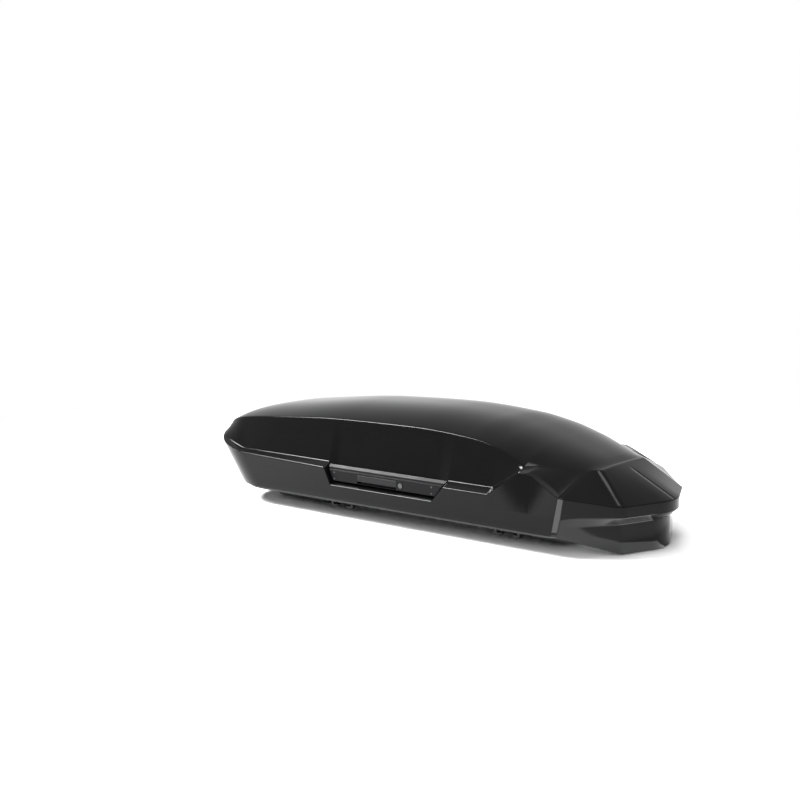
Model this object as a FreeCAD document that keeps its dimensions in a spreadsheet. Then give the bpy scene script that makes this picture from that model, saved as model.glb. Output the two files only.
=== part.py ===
"""Roof box: a car-top cargo box with a one-piece lid, a base tray, a side lock and four bar clamps.

Frame: +X is the nose, +Y is the hinge side, +Z is up. The origin lies on the plane of the
crossbars' upper faces, midway between the two bars and on the box's own centre line.
Sizes are millimetres.
"""
import FreeCAD, Part
import math
import os
import re
import Sketcher
from FreeCAD import Placement, Rotation, Vector

doc = FreeCAD.newDocument("roof_box")
sheet = doc.addObject("Spreadsheet::Sheet", "Sizes")

SIZES = (
    # whole box, seen in plan
    ("rear_reach", 950, "origin to the tail of the skirt"),
    ("nose_reach", 838, "origin to the point where the lip's edges would meet"),
    ("skirt_half", 325, "centre line to the side skirt"),
    ("ledge_width", 30, "skirt's outer face to the foot of the lid's side"),
    ("corner_reach", 616, "origin to the front corner of the skirt, at the lip"),
    ("corner_lean", 24, "how much further back that corner is at the rim"),
    ("corner_bevel", 16, "size of the bevel on that corner"),
    ("tip_reach", 757, "origin to the two shoulders of the nose"),
    ("tip_half", 190, "centre line to the shoulders of the nose"),
    ("tail_radius", 200, "plan radius of the tail corners"),
    ("tail_rake", 100, "how far the tail leans in from its widest place down to the rim"),
    ("nose_radius", 150, "plan radius of the nose"),
    ("shoulder_radius", 60, "plan radius of the nose shoulders"),
    ("chin_inset", 30, "how far the chin stands behind the lip"),
    # heights
    ("rim_height", 15, "bar plane to the lid's lower edge"),
    ("top_height", 337, "bar plane to the crown of the lid"),
    ("crease_height", 285, "bar plane to the crease between the side and the roof"),
    ("crease_inset", 41, "how far that crease stands in from the foot of the side"),
    ("brow_height", 197, "bar plane to the crease across the nose"),
    ("brow_reach", 645, "origin to the crease across the nose"),
    ("brow_half", 140, "half width of the crease across the nose"),
    ("tail_top", 190, "bar plane to the ledge at the end of the tail"),
    ("tail_waist", 150, "bar plane to the widest place of the tail"),
    ("tail_ledge", 134, "bar plane to the ledge just ahead of the tail"),
    ("ledge_height", 122, "bar plane to the ledge behind the recess"),
    ("ledge_rise", 17, "height of the slope behind the ledge's edge"),
    ("recess_rise", 11, "height of that slope in the recess"),
    ("front_ledge", 115, "bar plane to the ledge ahead of the recess"),
    ("recess_height", 64, "bar plane to the ledge in the recess"),
    ("hump_height", 198, "bar plane to the top of the hump"),
    ("lip_height", 106, "bar plane to the lip's upper edge at the nose"),
    ("lip_corner", 137, "bar plane to the lip's upper edge at the front corner"),
    ("lip_face", 35, "height of the lip's upright face"),
    ("lip_step", 3, "how far the hood stands behind the lip's edge"),
    ("undercut", 26, "height of the slope under the lip"),
    ("chin_drop", 63, "how far the chin hangs under the rim"),
    # places along the side
    ("recess_rear", -320, "rear end of the handle recess"),
    ("recess_front", 145, "front end of the handle recess"),
    ("recess_slant", 14, "half the lean of the recess's rear end"),
    ("recess_fade", 44, "lean of the recess's front end"),
    ("hump_rear", 458, "rear end of the hump"),
    ("hump_front", 492, "front end of the hump"),
    ("hump_rise", 110, "length of the slope up to the hump"),
    # shells
    ("lid_wall", 4, "wall of the lid"),
    ("tray_wall", 4, "wall of the tray"),
    ("tray_inset", 20, "skirt's outer face to the tray's wall"),
    ("nose_gap", 50, "how much further the tray's nose stands back than its sides"),
    ("tail_gap", 102, "how much further the tray's tail stands in than its sides"),
    ("tray_height", 27, "height of the tray's wall over the rim"),
    ("floor_height", 3, "bar plane to the underside of the floor"),
    ("keel_depth", 42, "how far the keels hang under the floor"),
    ("keel_inset", 80, "tray's wall to the side of a keel"),
    # hinge
    ("hinge_inset", 11, "skirt's outer face to the hinge axis"),
    ("hinge_height", 20, "bar plane to the hinge axis"),
    ("hinge_span", 520, "pitch of the three hinges"),
    ("knuckle_radius", 5, "radius of a hinge knuckle"),
    ("knuckle_length", 30, "length of one knuckle"),
    ("hinge_pin", 2.5, "radius of a hinge pin"),
    ("leaf_thick", 2, "thickness of a hinge leaf"),
    ("leaf_height", 25, "height of a hinge leaf"),
    ("run_gap", 0.05, "radial clearance of a pin in its eye"),
    ("end_gap", 0.5, "clearance between faces that slide"),
    # lid supports
    ("arm_length", 190, "pitch of the two eyes of a support arm"),
    ("arm_angle", 55, "angle between base line and lid line when shut"),
    ("arm_width", 22, "width of a support arm"),
    ("arm_thick", 4, "thickness of a support arm"),
    ("arm_pin", 4, "radius of the arm pins"),
    ("rear_support", -408, "place of the rear lid support"),
    ("front_support", 400, "place of the front lid support"),
    ("foot_half", 13, "half width of the support brackets"),
    # clamps
    ("bar_spread", 350, "origin to the centre of each crossbar"),
    ("bar_width", 80, "width of the widest crossbar"),
    ("bar_depth", 32, "height of the crossbar"),
    ("clamp_side", 205, "centre line to the clamps"),
    ("pad_thick", 3, "thickness of the pads on the bars"),
    ("jaw_thick", 8, "thickness of a clamp jaw"),
    ("jaw_width", 20, "width of a clamp jaw"),
    ("jaw_foot", 20, "length of a jaw's foot under the bar"),
    ("jaw_travel", 24, "travel of the moving jaw"),
    ("slot_gap", 2, "clearance of a jaw in its slot"),
    ("housing_length", 176, "length of a clamp housing"),
    ("housing_width", 66, "width of a clamp housing"),
    ("housing_height", 24, "height of a clamp housing"),
    ("housing_radius", 14, "radius of a clamp housing's upright edges"),
    ("knob_radius", 36, "radius of a clamp knob"),
    ("jaw_shoe", 26, "length of a jaw's shoe inside the housing"),
    ("channel_height", 13, "height of the channel that guides the shoes"),
    ("knob_height", 24, "height of a clamp knob"),
    ("spindle_radius", 6, "radius of a clamp spindle"),
    ("rail_height", 8, "height of the steel floor rails"),
    ("rail_width", 74, "width of the steel floor rails"),
    ("rail_sheet", 2, "sheet thickness of the floor rails"),
    ("mat_thick", 3, "thickness of the floor mat"),
    # lock
    ("lock_low", 76, "bar plane to the lock plate's lower edge"),
    ("lock_height", 37, "height of the lock plate"),
    ("lock_thick", 14, "how far the lock plate stands off the lid"),
    ("lock_back", 3, "back wall of the lock plate"),
    ("seat_gap", 0.3, "clearance of the lock plate on the lid"),
    ("pivot_drop", 8, "lock plate's upper edge to the handle's pivot"),
    ("bolt_low", 84, "bar plane to the lock rail's lower edge"),
    ("bolt_depth", 10, "foot of the lid's side to the lock rail's outer face"),
    ("hook_low", 46, "bar plane to the tip of the hooks"),
    ("hook_width", 10, "width of a hook's leg"),
    ("finger_thick", 5, "thickness of a hook's finger"),
    ("striker_height", 56, "bar plane to the striker pins"),
    ("guide_width", 24, "width of a guide of the lock rail"),
    ("guide_wall", 4, "wall of a guide of the lock rail"),
    ("lock_place", -112, "origin to the centre of the lock"),
    ("step_drop", 5, "depth of the step in the lock plate"),
    ("barrel_gap", 19, "handle's end to the centre of the key barrel"),
    ("case_length", 130, "length of the lock case inside the lid"),
    ("case_depth", 24, "depth of the lock case inside the lid"),
    ("handle_length", 168, "length of the pull handle"),
    ("handle_height", 22, "height of the pull handle"),
    ("handle_pin", 2, "radius of the handle's pivot pin"),
    ("handle_thick", 9, "thickness of the pull handle"),
    ("barrel_radius", 8, "radius of the key barrel"),
    ("bolt_travel", 12, "travel of the lock rail"),
    ("bolt_width", 16, "height of the lock rail"),
    ("bolt_thick", 3, "thickness of the lock rail"),
    ("hook_pitch", 500, "pitch of the three hooks"),
    ("striker_radius", 4, "radius of a striker pin"),
    # soft and small pieces
    ("seal_radius", 5, "radius of the rim seal"),
    ("rear_bow", -470, "place of the rear bow"),
    ("front_bow", 220, "place of the front bow"),
    ("bow_width", 34, "width of the lid's stiffening bows"),
    ("bow_thick", 5, "thickness of the lid's stiffening bows"),
    ("anchor_depth", 11, "depth of the strap anchors"),
    ("strap_place", 120, "origin to each load strap"),
    ("strap_width", 25, "width of the load straps"),
    ("strap_thick", 1.6, "thickness of the load straps"),
    ("rivet_radius", 5, "head radius of the rivets"),
    ("rivet_height", 2, "head height of the rivets"),
)
NAMES = {alias for alias, number, note in SIZES}
WORKED_OUT = {
    "lid_half": "(skirt_half - ledge_width)",
    "hinge_side": "(skirt_half - hinge_inset)",
    "bolt_side": "(skirt_half - ledge_width - bolt_depth)",
}

for row, (alias, number, note) in enumerate(SIZES, start=1):
    sheet.set("A%d" % row, note)
    sheet.set("B%d" % row, str(number))
    sheet.setAlias("B%d" % row, alias)
doc.recompute()


def size(alias):
    """The number in the cell with this alias."""
    return float(sheet.get(alias))


def bound(text):
    """Turns plain size names in a formula into references to the sheet."""
    for name, formula in WORKED_OUT.items():
        text = re.sub(r"\b%s\b" % name, formula, text)
    return re.sub(r"[a-z_]+", lambda m: "Sizes." + m.group() if m.group() in NAMES else m.group(), text)


def bind(piece, prop, formula):
    piece.setExpression(prop, bound(str(formula)))


def put(piece, x=0, y=0, z=0):
    bind(piece, "Placement.Base.x", x)
    bind(piece, "Placement.Base.y", y)
    bind(piece, "Placement.Base.z", z)


def block(name, length, width, height, x, y, z):
    """A box given by its sizes and its lowest corner."""
    piece = doc.addObject("Part::Box", name)
    bind(piece, "Length", length)
    bind(piece, "Width", width)
    bind(piece, "Height", height)
    put(piece, x, y, z)
    return piece


TURNS = {
    "x": Rotation(Vector(0, 1, 0), 90),
    "y": Rotation(Vector(1, 0, 0), -90),
    "z": Rotation(),
}


def rod(name, radius, length, axis, x, y, z):
    """A cylinder that starts at the given point and runs along an axis."""
    piece = doc.addObject("Part::Cylinder", name)
    bind(piece, "Radius", radius)
    bind(piece, "Height", length)
    piece.Placement = Placement(Vector(), TURNS[axis])
    put(piece, x, y, z)
    return piece


def fuse(name, pieces):
    joined = doc.addObject("Part::MultiFuse", name)
    joined.Shapes = pieces
    return joined


def cut(name, piece, tool):
    rest = doc.addObject("Part::Cut", name)
    rest.Base = piece
    rest.Tool = tool
    return rest


def common(name, first, second):
    shared = doc.addObject("Part::Common", name)
    shared.Base = first
    shared.Tool = second
    return shared


def group(name, pieces):
    """Separate solids that share one node."""
    together = doc.addObject("Part::Compound", name)
    together.Links = pieces
    return together


def shaped(name, shape):
    piece = doc.addObject("Part::Feature", name)
    piece.Shape = shape
    return piece


finished = []


def node(piece, label):
    """Marks an object as a finished piece of the box."""
    piece.Label = label
    finished.append(piece)
    return piece


# Plan outlines

def corner_list(inset, tail=0, lean=0, sharp=True):
    """Corners of the plan from the tail's right round to its left; nose, tail and corner can stand in."""
    bevel = size("corner_bevel")
    corner = size("corner_reach") - lean
    right = [(-size("rear_reach") + tail, -size("skirt_half"), size("tail_radius"))]
    if sharp:
        right.append((corner - bevel / 2, -size("skirt_half"), 0))
        right.append((corner + bevel / 2, -size("skirt_half") + bevel * 0.8, 0))
    else:
        right.append((corner, -size("skirt_half"), size("nose_radius")))
    right.append((size("tip_reach") - inset * 0.8, -size("tip_half") + inset * 0.6, size("shoulder_radius")))
    nose = [(size("nose_reach") - inset, 0, size("nose_radius"))]
    left = [(x, -y, radius) for x, y, radius in reversed(right)]
    return right + nose + left


def inward(corners, inset):
    """The same corners with every side moved inwards, and the radii less by as much."""
    moved = []
    count = len(corners)
    for i in range(count):
        before = Vector(*corners[i - 1][:2], 0)
        here = Vector(*corners[i][:2], 0)
        after = Vector(*corners[(i + 1) % count][:2], 0)
        first = (here - before).normalize()
        second = (after - here).normalize()
        half_turn = first.getAngle(second) / 2
        bisector = (second - first).normalize()
        spot = here + bisector * (inset / math.cos(half_turn))
        radius = corners[i][2]
        moved.append((spot.x, spot.y, max(radius - inset, 1) if radius else 0))
    return moved


def rounded(corners, height):
    """A closed wire at one height, straight between corners and round at those with a radius."""
    joints = []
    count = len(corners)
    for i in range(count):
        before = Vector(*corners[i - 1][:2], height)
        here = Vector(*corners[i][:2], height)
        after = Vector(*corners[(i + 1) % count][:2], height)
        radius = corners[i][2]
        if not radius:
            joints.append((here, None, here))
            continue
        back = (before - here).normalize()
        ahead = (after - here).normalize()
        half = back.getAngle(ahead) / 2
        reach = radius / math.tan(half)
        middle = here + (back + ahead).normalize() * (radius / math.sin(half) - radius)
        joints.append((here + back * reach, middle, here + ahead * reach))
    edges = []
    for i in range(count):
        start, middle, end = joints[i]
        if middle is not None:
            edges.append(Part.Arc(start, middle, end).toShape())
        edges.append(Part.LineSegment(end, joints[(i + 1) % count][0]).toShape())
    return Part.Wire(edges)


def prism(corners, low, high):
    return Part.Face(rounded(corners, low)).extrude(Vector(0, 0, high - low))


def side_prism(points, half):
    """A polygon in the side view, drawn out across the box."""
    wire = Part.makePolygon([Vector(x, -half, z) for x, z in points + points[:1]])
    return Part.Face(wire).extrude(Vector(0, 2 * half, 0))


# Lid skin

def lid_half():
    """Centre line to the foot of the lid's side."""
    return size("skirt_half") - size("ledge_width")


def rear_stations():
    """Sections from the tail to the hump: place, foot and its height, crease and its height, crown."""
    tail = -size("rear_reach")
    nose = size("nose_reach")
    half = lid_half()
    foot = size("lip_corner") + 2
    inner = half - size("crease_inset")
    crease = size("crease_height")
    crown = size("top_height")
    return (
        (tail + 18, half - 105, foot, inner - 121, crease - 102, crown - 142),
        (tail + 34, half - 62, foot, inner - 76, crease - 78, crown - 112),
        (tail + 75, half - 26, foot, inner - 32, crease - 57, crown - 86),
        (tail + 150, half - 7, foot, inner - 6, crease - 39, crown - 63),
        (tail + 330, half, foot, inner + 2, crease - 21, crown - 38),
        (tail + 640, half, foot, inner, crease - 3, crown - 9),
        (tail + 950, half, foot, inner, crease, crown),
        (nose - 600, half, foot, inner + 5, crease - 12, crown - 15),
        (nose - 490, half, foot, inner + 13, crease - 32, crown - 37),
        (size("hump_rear"), half + 2, foot, half - 15, crease - 74, crown - 69),
    )


def nose_stations():
    """Sections from the hump to the lip: the side slopes out to the lip, and a crease crosses the nose."""
    half = lid_half()
    crown = size("top_height")
    lip = size("lip_height")
    brow = size("brow_height")
    reach = size("brow_reach")
    corner = size("corner_reach")
    tip = size("tip_reach")
    side = size("tip_half")
    return (
        rear_stations()[-1],
        (size("hump_front") + 6, half + 3, size("hump_height") - 2, half - 43, brow + 10, crown - 82),
        (size("hump_front") + 57, half + 3, size("hump_height") - 29, half - 78, brow + 5, crown - 99),
        (corner - 8, half + 25, size("lip_corner") + 2, size("brow_half") + 27, brow, crown - 120),
        (reach - 5, half + 10, lip_line(reach) + 3, size("brow_half"), brow, brow + 4),
        (reach + 10, half - 4, lip_line(reach) - 1, size("brow_half") + 6, brow - 9, brow - 3),
        (tip - 57, side + 52, lip_line(tip - 57) + 2, side - 24, lip + 44, lip + 68),
        (tip, side + 1, lip + 1, side - 5, lip + 6, lip + 41),
        (size("nose_reach") - 38, side - 82, lip + 1, side - 92, lip + 5, lip + 20),
        (size("nose_reach") + 10, side - 150, lip - 4, side - 160, lip - 3, lip - 1),
    )


def section(row, inset, floor):
    """One closed section of the skin: a floor line, upright feet, sloping sides and a crowned roof."""
    place, half, foot, inner, crease, crown = row
    half -= inset
    foot -= inset / 2
    inner -= inset * 0.8
    crease -= inset
    crown -= inset
    right = [Vector(place, -inner * share, crown - (crown - crease) * share ** 2.8) for share in (1, 0.75, 0.45)]
    left = [Vector(p.x, -p.y, p.z) for p in reversed(right)]
    roof = Part.BSplineCurve()
    roof.interpolate(right + [Vector(place, 0, crown)] + left)
    outline = [Vector(place, half, floor), Vector(place, -half, floor), Vector(place, -half, foot), right[0]]
    edges = [Part.LineSegment(a, b).toShape() for a, b in zip(outline, outline[1:])]
    edges.append(roof.toShape())
    edges.append(Part.LineSegment(left[-1], Vector(place, half, foot)).toShape())
    edges.append(Part.LineSegment(Vector(place, half, foot), outline[0]).toShape())
    return Part.Wire(edges)


def lip_line(place):
    """Height of the lip's upper edge: it falls from the front corner to the shoulders of the nose."""
    begin = size("corner_reach")
    end = size("tip_reach") - 20
    share = min(max((place - begin) / (end - begin), 0), 1)
    return size("lip_corner") + (size("lip_height") - size("lip_corner")) * share


def foot_line(place):
    """Lowest height of the hood: over the rim, and inside the raked tail."""
    share = min((place + size("rear_reach")) / 300, 1)
    return size("rim_height") + 30 + (size("tail_waist") - size("rim_height")) * 0.6 * (1 - share) ** 2


def skin(inset):
    """The lid's upper volume, or the hollow inside it when inset is the wall."""
    rear = []
    for number, row in enumerate(rear_stations()):
        place = row[0] + inset if number == 0 else row[0]
        rear.append(section((place,) + row[1:], inset, foot_line(place)))
    front = []
    for number, row in enumerate(nose_stations()):
        floor = foot_line(row[0]) if number == 0 else size("lip_height") - 26
        front.append(section(row, inset, floor))
    return Part.makeLoft(rear, True, False).fuse(Part.makeLoft(front, True, True))


def skirt_block(inset, low, high):
    """The skirt's plan drawn upwards: under its widest place the tail and the front corners lean in."""
    rim = inward(corner_list(size("chin_inset"), size("tail_rake"), size("corner_lean")), inset)
    waist = inward(corner_list(size("chin_inset")), inset)
    leaning = Part.makeLoft([rounded(rim, size("rim_height")), rounded(waist, size("tail_waist"))], True, True)
    upper = prism(waist, size("tail_waist"), high)
    return leaning.fuse([prism(rim, low, size("rim_height")), upper])


def ledge_line():
    """The skirt's upper edge in the side view: place, height, and rise of the slope behind it."""
    tail = -size("rear_reach")
    slope = size("ledge_rise")
    recess = size("recess_height")
    floor = size("recess_rise")
    corner = size("corner_reach") - size("corner_bevel") / 2
    return (
        (tail + size("tail_radius") * 0.92, size("tail_ledge"), slope * 0.4),
        (size("recess_rear") - size("recess_slant"), size("ledge_height"), slope),
        (size("recess_rear") + size("recess_slant"), recess, floor),
        (size("recess_front") - size("recess_slant"), recess, floor),
        (size("recess_front") - size("recess_slant") + size("recess_fade"), size("front_ledge"), slope),
        (size("hump_rear") - size("hump_rise"), size("front_ledge"), slope),
        (size("hump_rear"), size("hump_height"), slope * 0.4),
        (size("hump_front"), size("hump_height"), slope * 0.4),
        (corner, size("lip_corner"), 0),
        (size("tip_reach") - 20, size("lip_height"), 0),
        (size("nose_reach") + 20, size("lip_height"), 0),
    )


def skirt_profile(across, inset, raised, low):
    """The room under the ledge cut along the box, in the upright plane at one place across it."""
    nose = size("nose_reach")
    tail = -size("rear_reach") - 20
    points = [(tail, size("tail_top") - inset)]
    points += [(x, z - inset + rise * raised) for x, z, rise in ledge_line()]
    points += [(nose + 20, low - size("chin_drop")), (nose - 100, low - size("chin_drop")),
               (size("corner_reach") - size("corner_lean"), low), (tail, low)]
    return Part.makePolygon([Vector(x, across, z) for x, z in points + points[:1]])


def under_ledge(inset, low):
    """The room under the ledge: its upper face slopes up from the skirt to the foot of the hood."""
    outer = size("skirt_half") - inset
    inner = lid_half() - inset
    spans = ((-outer, 0), (-inner, 1), (inner, 1), (outer, 0))
    return Part.makeLoft([skirt_profile(across, inset, raised, low) for across, raised in spans], True, True)


def make_lid():
    """Lid skin: an upper hood, a skirt that stands proud of it, a lip round the nose and a chin."""
    wall = size("lid_wall")
    half = size("skirt_half")
    tall = size("top_height")
    lip = corner_list(0)
    outside = under_ledge(0, size("rim_height"))
    skirt = skirt_block(0, -tall, tall).common(outside)
    lip_low = size("lip_height") - size("lip_face")
    ahead = Part.makeBox(400, 2 * half, tall, Vector(size("corner_reach") - size("corner_bevel") / 2, -half, 0))
    brow = prism(lip, lip_low, tall).common(ahead).common(outside)
    chin = corner_list(size("chin_inset"))
    slope = Part.makeLoft([rounded(chin, lip_low - size("undercut")), rounded(lip, lip_low)], True, True)
    hood = skin(0).common(prism(inward(lip, size("lip_step")), -tall, 2 * tall))
    outer = hood.fuse([skirt, brow, slope.common(ahead)])
    hollow_skirt = skirt_block(wall, -tall, tall).common(under_ledge(wall, -tall))
    hollow_hood = skin(wall).common(prism(inward(lip, size("lip_step") + wall), -tall, 2 * tall))
    return outer.cut(hollow_hood).cut(hollow_skirt).removeSplitter()


def recess_room(gap):
    """The room behind the recess's edge, drawn across the box, with a gap at its slanted ends."""
    low = size("recess_height") + size("recess_rise")
    high = size("ledge_height") + size("ledge_rise")
    rear = size("recess_rear") + gap
    front = size("recess_front") - size("recess_slant") - gap
    front_lean = size("recess_fade") / (size("front_ledge") + size("ledge_rise") - low)
    points = [(rear + size("recess_slant"), low), (front, low), (front + front_lean * (high - low), high),
              (rear - size("recess_slant"), high)]
    return side_prism(points, size("skirt_half"))


# Tray

def tray_corners(inset):
    return inward(corner_list(size("nose_gap"), size("tail_gap"), size("corner_lean"), False), size("tray_inset") + inset)


def make_pans(inset, rise):
    """The two keels ahead of and behind the bars, as solids, or their hollows when inset is the wall."""
    low = size("floor_height")
    depth = size("keel_depth")
    half = size("skirt_half")
    long = size("rear_reach")
    between = size("bar_spread") + size("bar_width")
    edge = size("keel_inset") + inset
    solid = Part.makeLoft([rounded(tray_corners(edge), low + rise),
                           rounded(tray_corners(edge + depth * 0.8), low + inset - depth)], True, True)
    pans = []
    for sign in (1, -1):
        start = between if sign > 0 else -long
        room = Part.makeBox(long - between, 2 * half, 4 * long, Vector(start + sign * inset, -half, -2 * long))
        pans.append(solid.common(room))
    return pans


def make_tray():
    """Open tray: a floor on the bars with an opening over each keel pan, and a low wall all round."""
    wall = size("tray_wall")
    low = size("floor_height")
    high = size("rim_height") + size("tray_height")
    tub = prism(tray_corners(0), low, high).cut(prism(tray_corners(wall), low + wall, high + 1))
    return tub.cut(make_pans(wall, wall + 1)).removeSplitter()


def ring(outer, inner, low, high):
    return prism(outer, low, high).cut(prism(inner, low - 1, high + 1))


# Lid shell

lid_skin = shaped("lid_skin", make_lid())
barrel_place = "lock_place + handle_length / 2 + barrel_gap"
barrel_height = "lock_low + lock_height / 2"
barrel_hole = rod("barrel_hole", "barrel_radius + 1", "lid_wall * 3", "y", barrel_place,
                  "-lid_half - lid_wall", barrel_height)
node(cut("lid_with_holes", lid_skin, barrel_hole), "lid_shell")

# Stiffening bows under the lid's crown

lid_inside = skin(size("lid_wall"))
bow_inside = skin(size("lid_wall") + size("bow_thick"))


def make_bow(place):
    """A rib that follows the inside of the lid from one ledge to the other."""
    half = size("skirt_half")
    low = size("ledge_height") + 10
    slab = Part.makeBox(size("bow_width"), 2 * half, size("top_height"),
                        Vector(place - size("bow_width") / 2, -half, low))
    return lid_inside.common(slab).cut(bow_inside)


node(shaped("rear_bow", make_bow(size("rear_bow"))), "lid_bow_rear")
node(shaped("front_bow", make_bow(size("front_bow"))), "lid_bow_front")

# Tray with the slots for the clamp jaws

CLAMPS = (
    ("front_right", "bar_spread", "-clamp_side"),
    ("front_left", "bar_spread", "clamp_side"),
    ("rear_right", "-bar_spread", "-clamp_side"),
    ("rear_left", "-bar_spread", "clamp_side"),
)
BAR_REAR = "bar_width / 2 + end_gap"
SLOT_REAR = "(" + BAR_REAR + " + jaw_thick + jaw_travel + slot_gap)"
SLOT_LENGTH = "(" + BAR_REAR + " + jaw_thick) * 2 + jaw_travel + slot_gap * 2"


def jaw_slots(name, low, height, spare):
    """One slot over each clamp's bar, wide enough for the jaws."""
    slots = []
    for place, x, y in CLAMPS:
        slots.append(block(name + "_" + place, SLOT_LENGTH, "jaw_width + 2 * slot_gap + " + spare, height,
                           "%s - %s" % (x, SLOT_REAR), "%s - jaw_width / 2 - slot_gap - (%s) / 2" % (y, spare),
                           low))
    return fuse(name, slots)


floor_top = "floor_height + tray_wall"
rail_top = "floor_height + tray_wall + rail_height"
tray_skin = shaped("tray_skin", make_tray())
node(cut("tray_with_slots", tray_skin, jaw_slots("floor_slots", "floor_height - 1", "tray_wall + 2", "0")),
     "base_tray")

# Keel pans, welded under the openings in the floor

pans = []
for end, outside, hollow in zip(("front", "rear"), make_pans(0, 0), make_pans(size("tray_wall"), 1)):
    pans.append(cut("pan_" + end, shaped("pan_outside_" + end, outside), shaped("pan_hollow_" + end, hollow)))
node(group("pan_set", pans), "keel_pans")

# Steel rails on the floor, folded like a hat

rails = []
for side, y in (("right", "-clamp_side"), ("left", "clamp_side")):
    outside = block(side + "_rail_outside", "bar_spread * 2 + 260", "rail_width", "rail_height",
                    "-bar_spread - 130", y + " - rail_width / 2", floor_top)
    inside = block(side + "_rail_inside", "bar_spread * 2 + 262", "rail_width - 2 * rail_sheet",
                   "rail_height - rail_sheet", "-bar_spread - 131", y + " - rail_width / 2 + rail_sheet", floor_top)
    rails.append(cut(side + "_rail_hat", outside, inside))
rail_pair = group("rail_pair", rails)
node(cut("rails_with_slots", rail_pair, jaw_slots("rail_slots", floor_top, "rail_height + 1", "0")),
     "floor_rails")

# Pads between the floor and the bars

pads = []
for place, x, y in CLAMPS:
    for side, sign in (("outer", "+"), ("inner", "-")):
        pads.append(block("pad_%s_%s" % (place, side), "bar_width - 4", "18", "pad_thick",
                          x + " - bar_width / 2 + 2",
                          "%s %s (jaw_width / 2 + slot_gap + 12) - 9" % (y, sign), "floor_height - pad_thick"))
node(group("pad_set", pads), "bar_pads")

# Floor mat between the rails and beside them

mat_middle = block("mat_middle", "bar_spread * 2 + 20", "(clamp_side - rail_width / 2 - anchor_depth - 1) * 2",
                   "mat_thick", "-bar_spread - 10", "-clamp_side + rail_width / 2 + anchor_depth + 1", floor_top)
node(mat_middle, "floor_mat")

# Rim seal, clipped over the tray's wall


def make_seal():
    top = size("rim_height") + size("tray_height")
    bead = 2 * size("seal_radius") - 2
    leg = ring(tray_corners(-size("leaf_thick")), tray_corners(0), top - 8, top)
    crown = ring(tray_corners(-size("leaf_thick")), tray_corners(size("tray_wall")), top, top + bead)
    return leg.fuse(crown).removeSplitter()


node(shaped("seal_ring", make_seal()), "rim_seal")

# Hinges on the left side

HINGES = (("rear", "-60 - hinge_span"), ("middle", "-60"), ("front", "-60 + hinge_span"))
lid_leaves, tray_leaves, hinge_pins = [], [], []
for place, x in HINGES:
    centre = "%s - knuckle_length / 2" % x
    inner_face = "skirt_half - tray_inset"
    plate = block("tray_leaf_plate_" + place, "knuckle_length", "leaf_thick", "leaf_height", centre,
                  inner_face, "rim_height - 6")
    web = block("tray_leaf_web_" + place, "knuckle_length", "hinge_side - skirt_half + tray_inset", "leaf_thick",
                centre, inner_face, "hinge_height - leaf_thick / 2")
    eye = rod("tray_eye_" + place, "knuckle_radius", "knuckle_length", "x", centre, "hinge_side", "hinge_height")
    bore = rod("tray_bore_" + place, "hinge_pin", "knuckle_length", "x", centre, "hinge_side", "hinge_height")
    tray_leaves.append(cut("tray_leaf_" + place, fuse("tray_leaf_body_" + place, [plate, web, eye]), bore))
    lid_face = "skirt_half - lid_wall"
    parts = [block("lid_leaf_plate_" + place, "knuckle_length * 3 + end_gap * 2", "leaf_thick", "leaf_height + 9",
                   "%s - knuckle_length * 1.5 - end_gap" % x, lid_face + " - leaf_thick", "hinge_height + 6")]
    for sign, start in (("before", "-knuckle_length * 1.5 - end_gap"), ("after", "knuckle_length / 2 + end_gap")):
        begin = "%s %s" % (x, start) if start[0] == "-" else "%s + %s" % (x, start)
        parts.append(block("lid_leaf_web_%s_%s" % (place, sign), "knuckle_length",
                           lid_face + " - hinge_side", "7", begin, "hinge_side", "hinge_height"))
        parts.append(rod("lid_eye_%s_%s" % (place, sign), "knuckle_radius", "knuckle_length", "x", begin,
                         "hinge_side", "hinge_height"))
    lid_bore = rod("lid_bore_" + place, "hinge_pin + run_gap", "knuckle_length * 4", "x",
                   "%s - knuckle_length * 2" % x, "hinge_side", "hinge_height")
    lid_leaves.append(cut("lid_leaf_" + place, fuse("lid_leaf_body_" + place, parts), lid_bore))
    hinge_pins.append(rod("hinge_pin_" + place, "hinge_pin", "knuckle_length * 3 + end_gap * 2", "x",
                          "%s - knuckle_length * 1.5 - end_gap" % x, "hinge_side", "hinge_height"))
node(group("tray_leaf_set", tray_leaves), "hinge_leaves_tray")
node(group("lid_leaf_set", lid_leaves), "hinge_leaves_lid")
node(group("hinge_pin_set", hinge_pins), "hinge_pins")

# Lid supports: each is a rhombus of two equal arms between a tray bracket and a lid bracket, so the
# lower arm turns with the lid and the upper arm turns back by as much

pivot_y = "hinge_side - arm_length"
pivot_z = "hinge_height"
rise_y = "arm_length * cos(arm_angle)"
rise_z = "arm_length * sin(arm_angle)"
top_y = "hinge_side - " + rise_y
top_z = "hinge_height + " + rise_z
knee_y = pivot_y + " - " + rise_y
knee_z = top_z
SUPPORTS = (("rear", "rear_support"), ("front", "front_support"))


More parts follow.
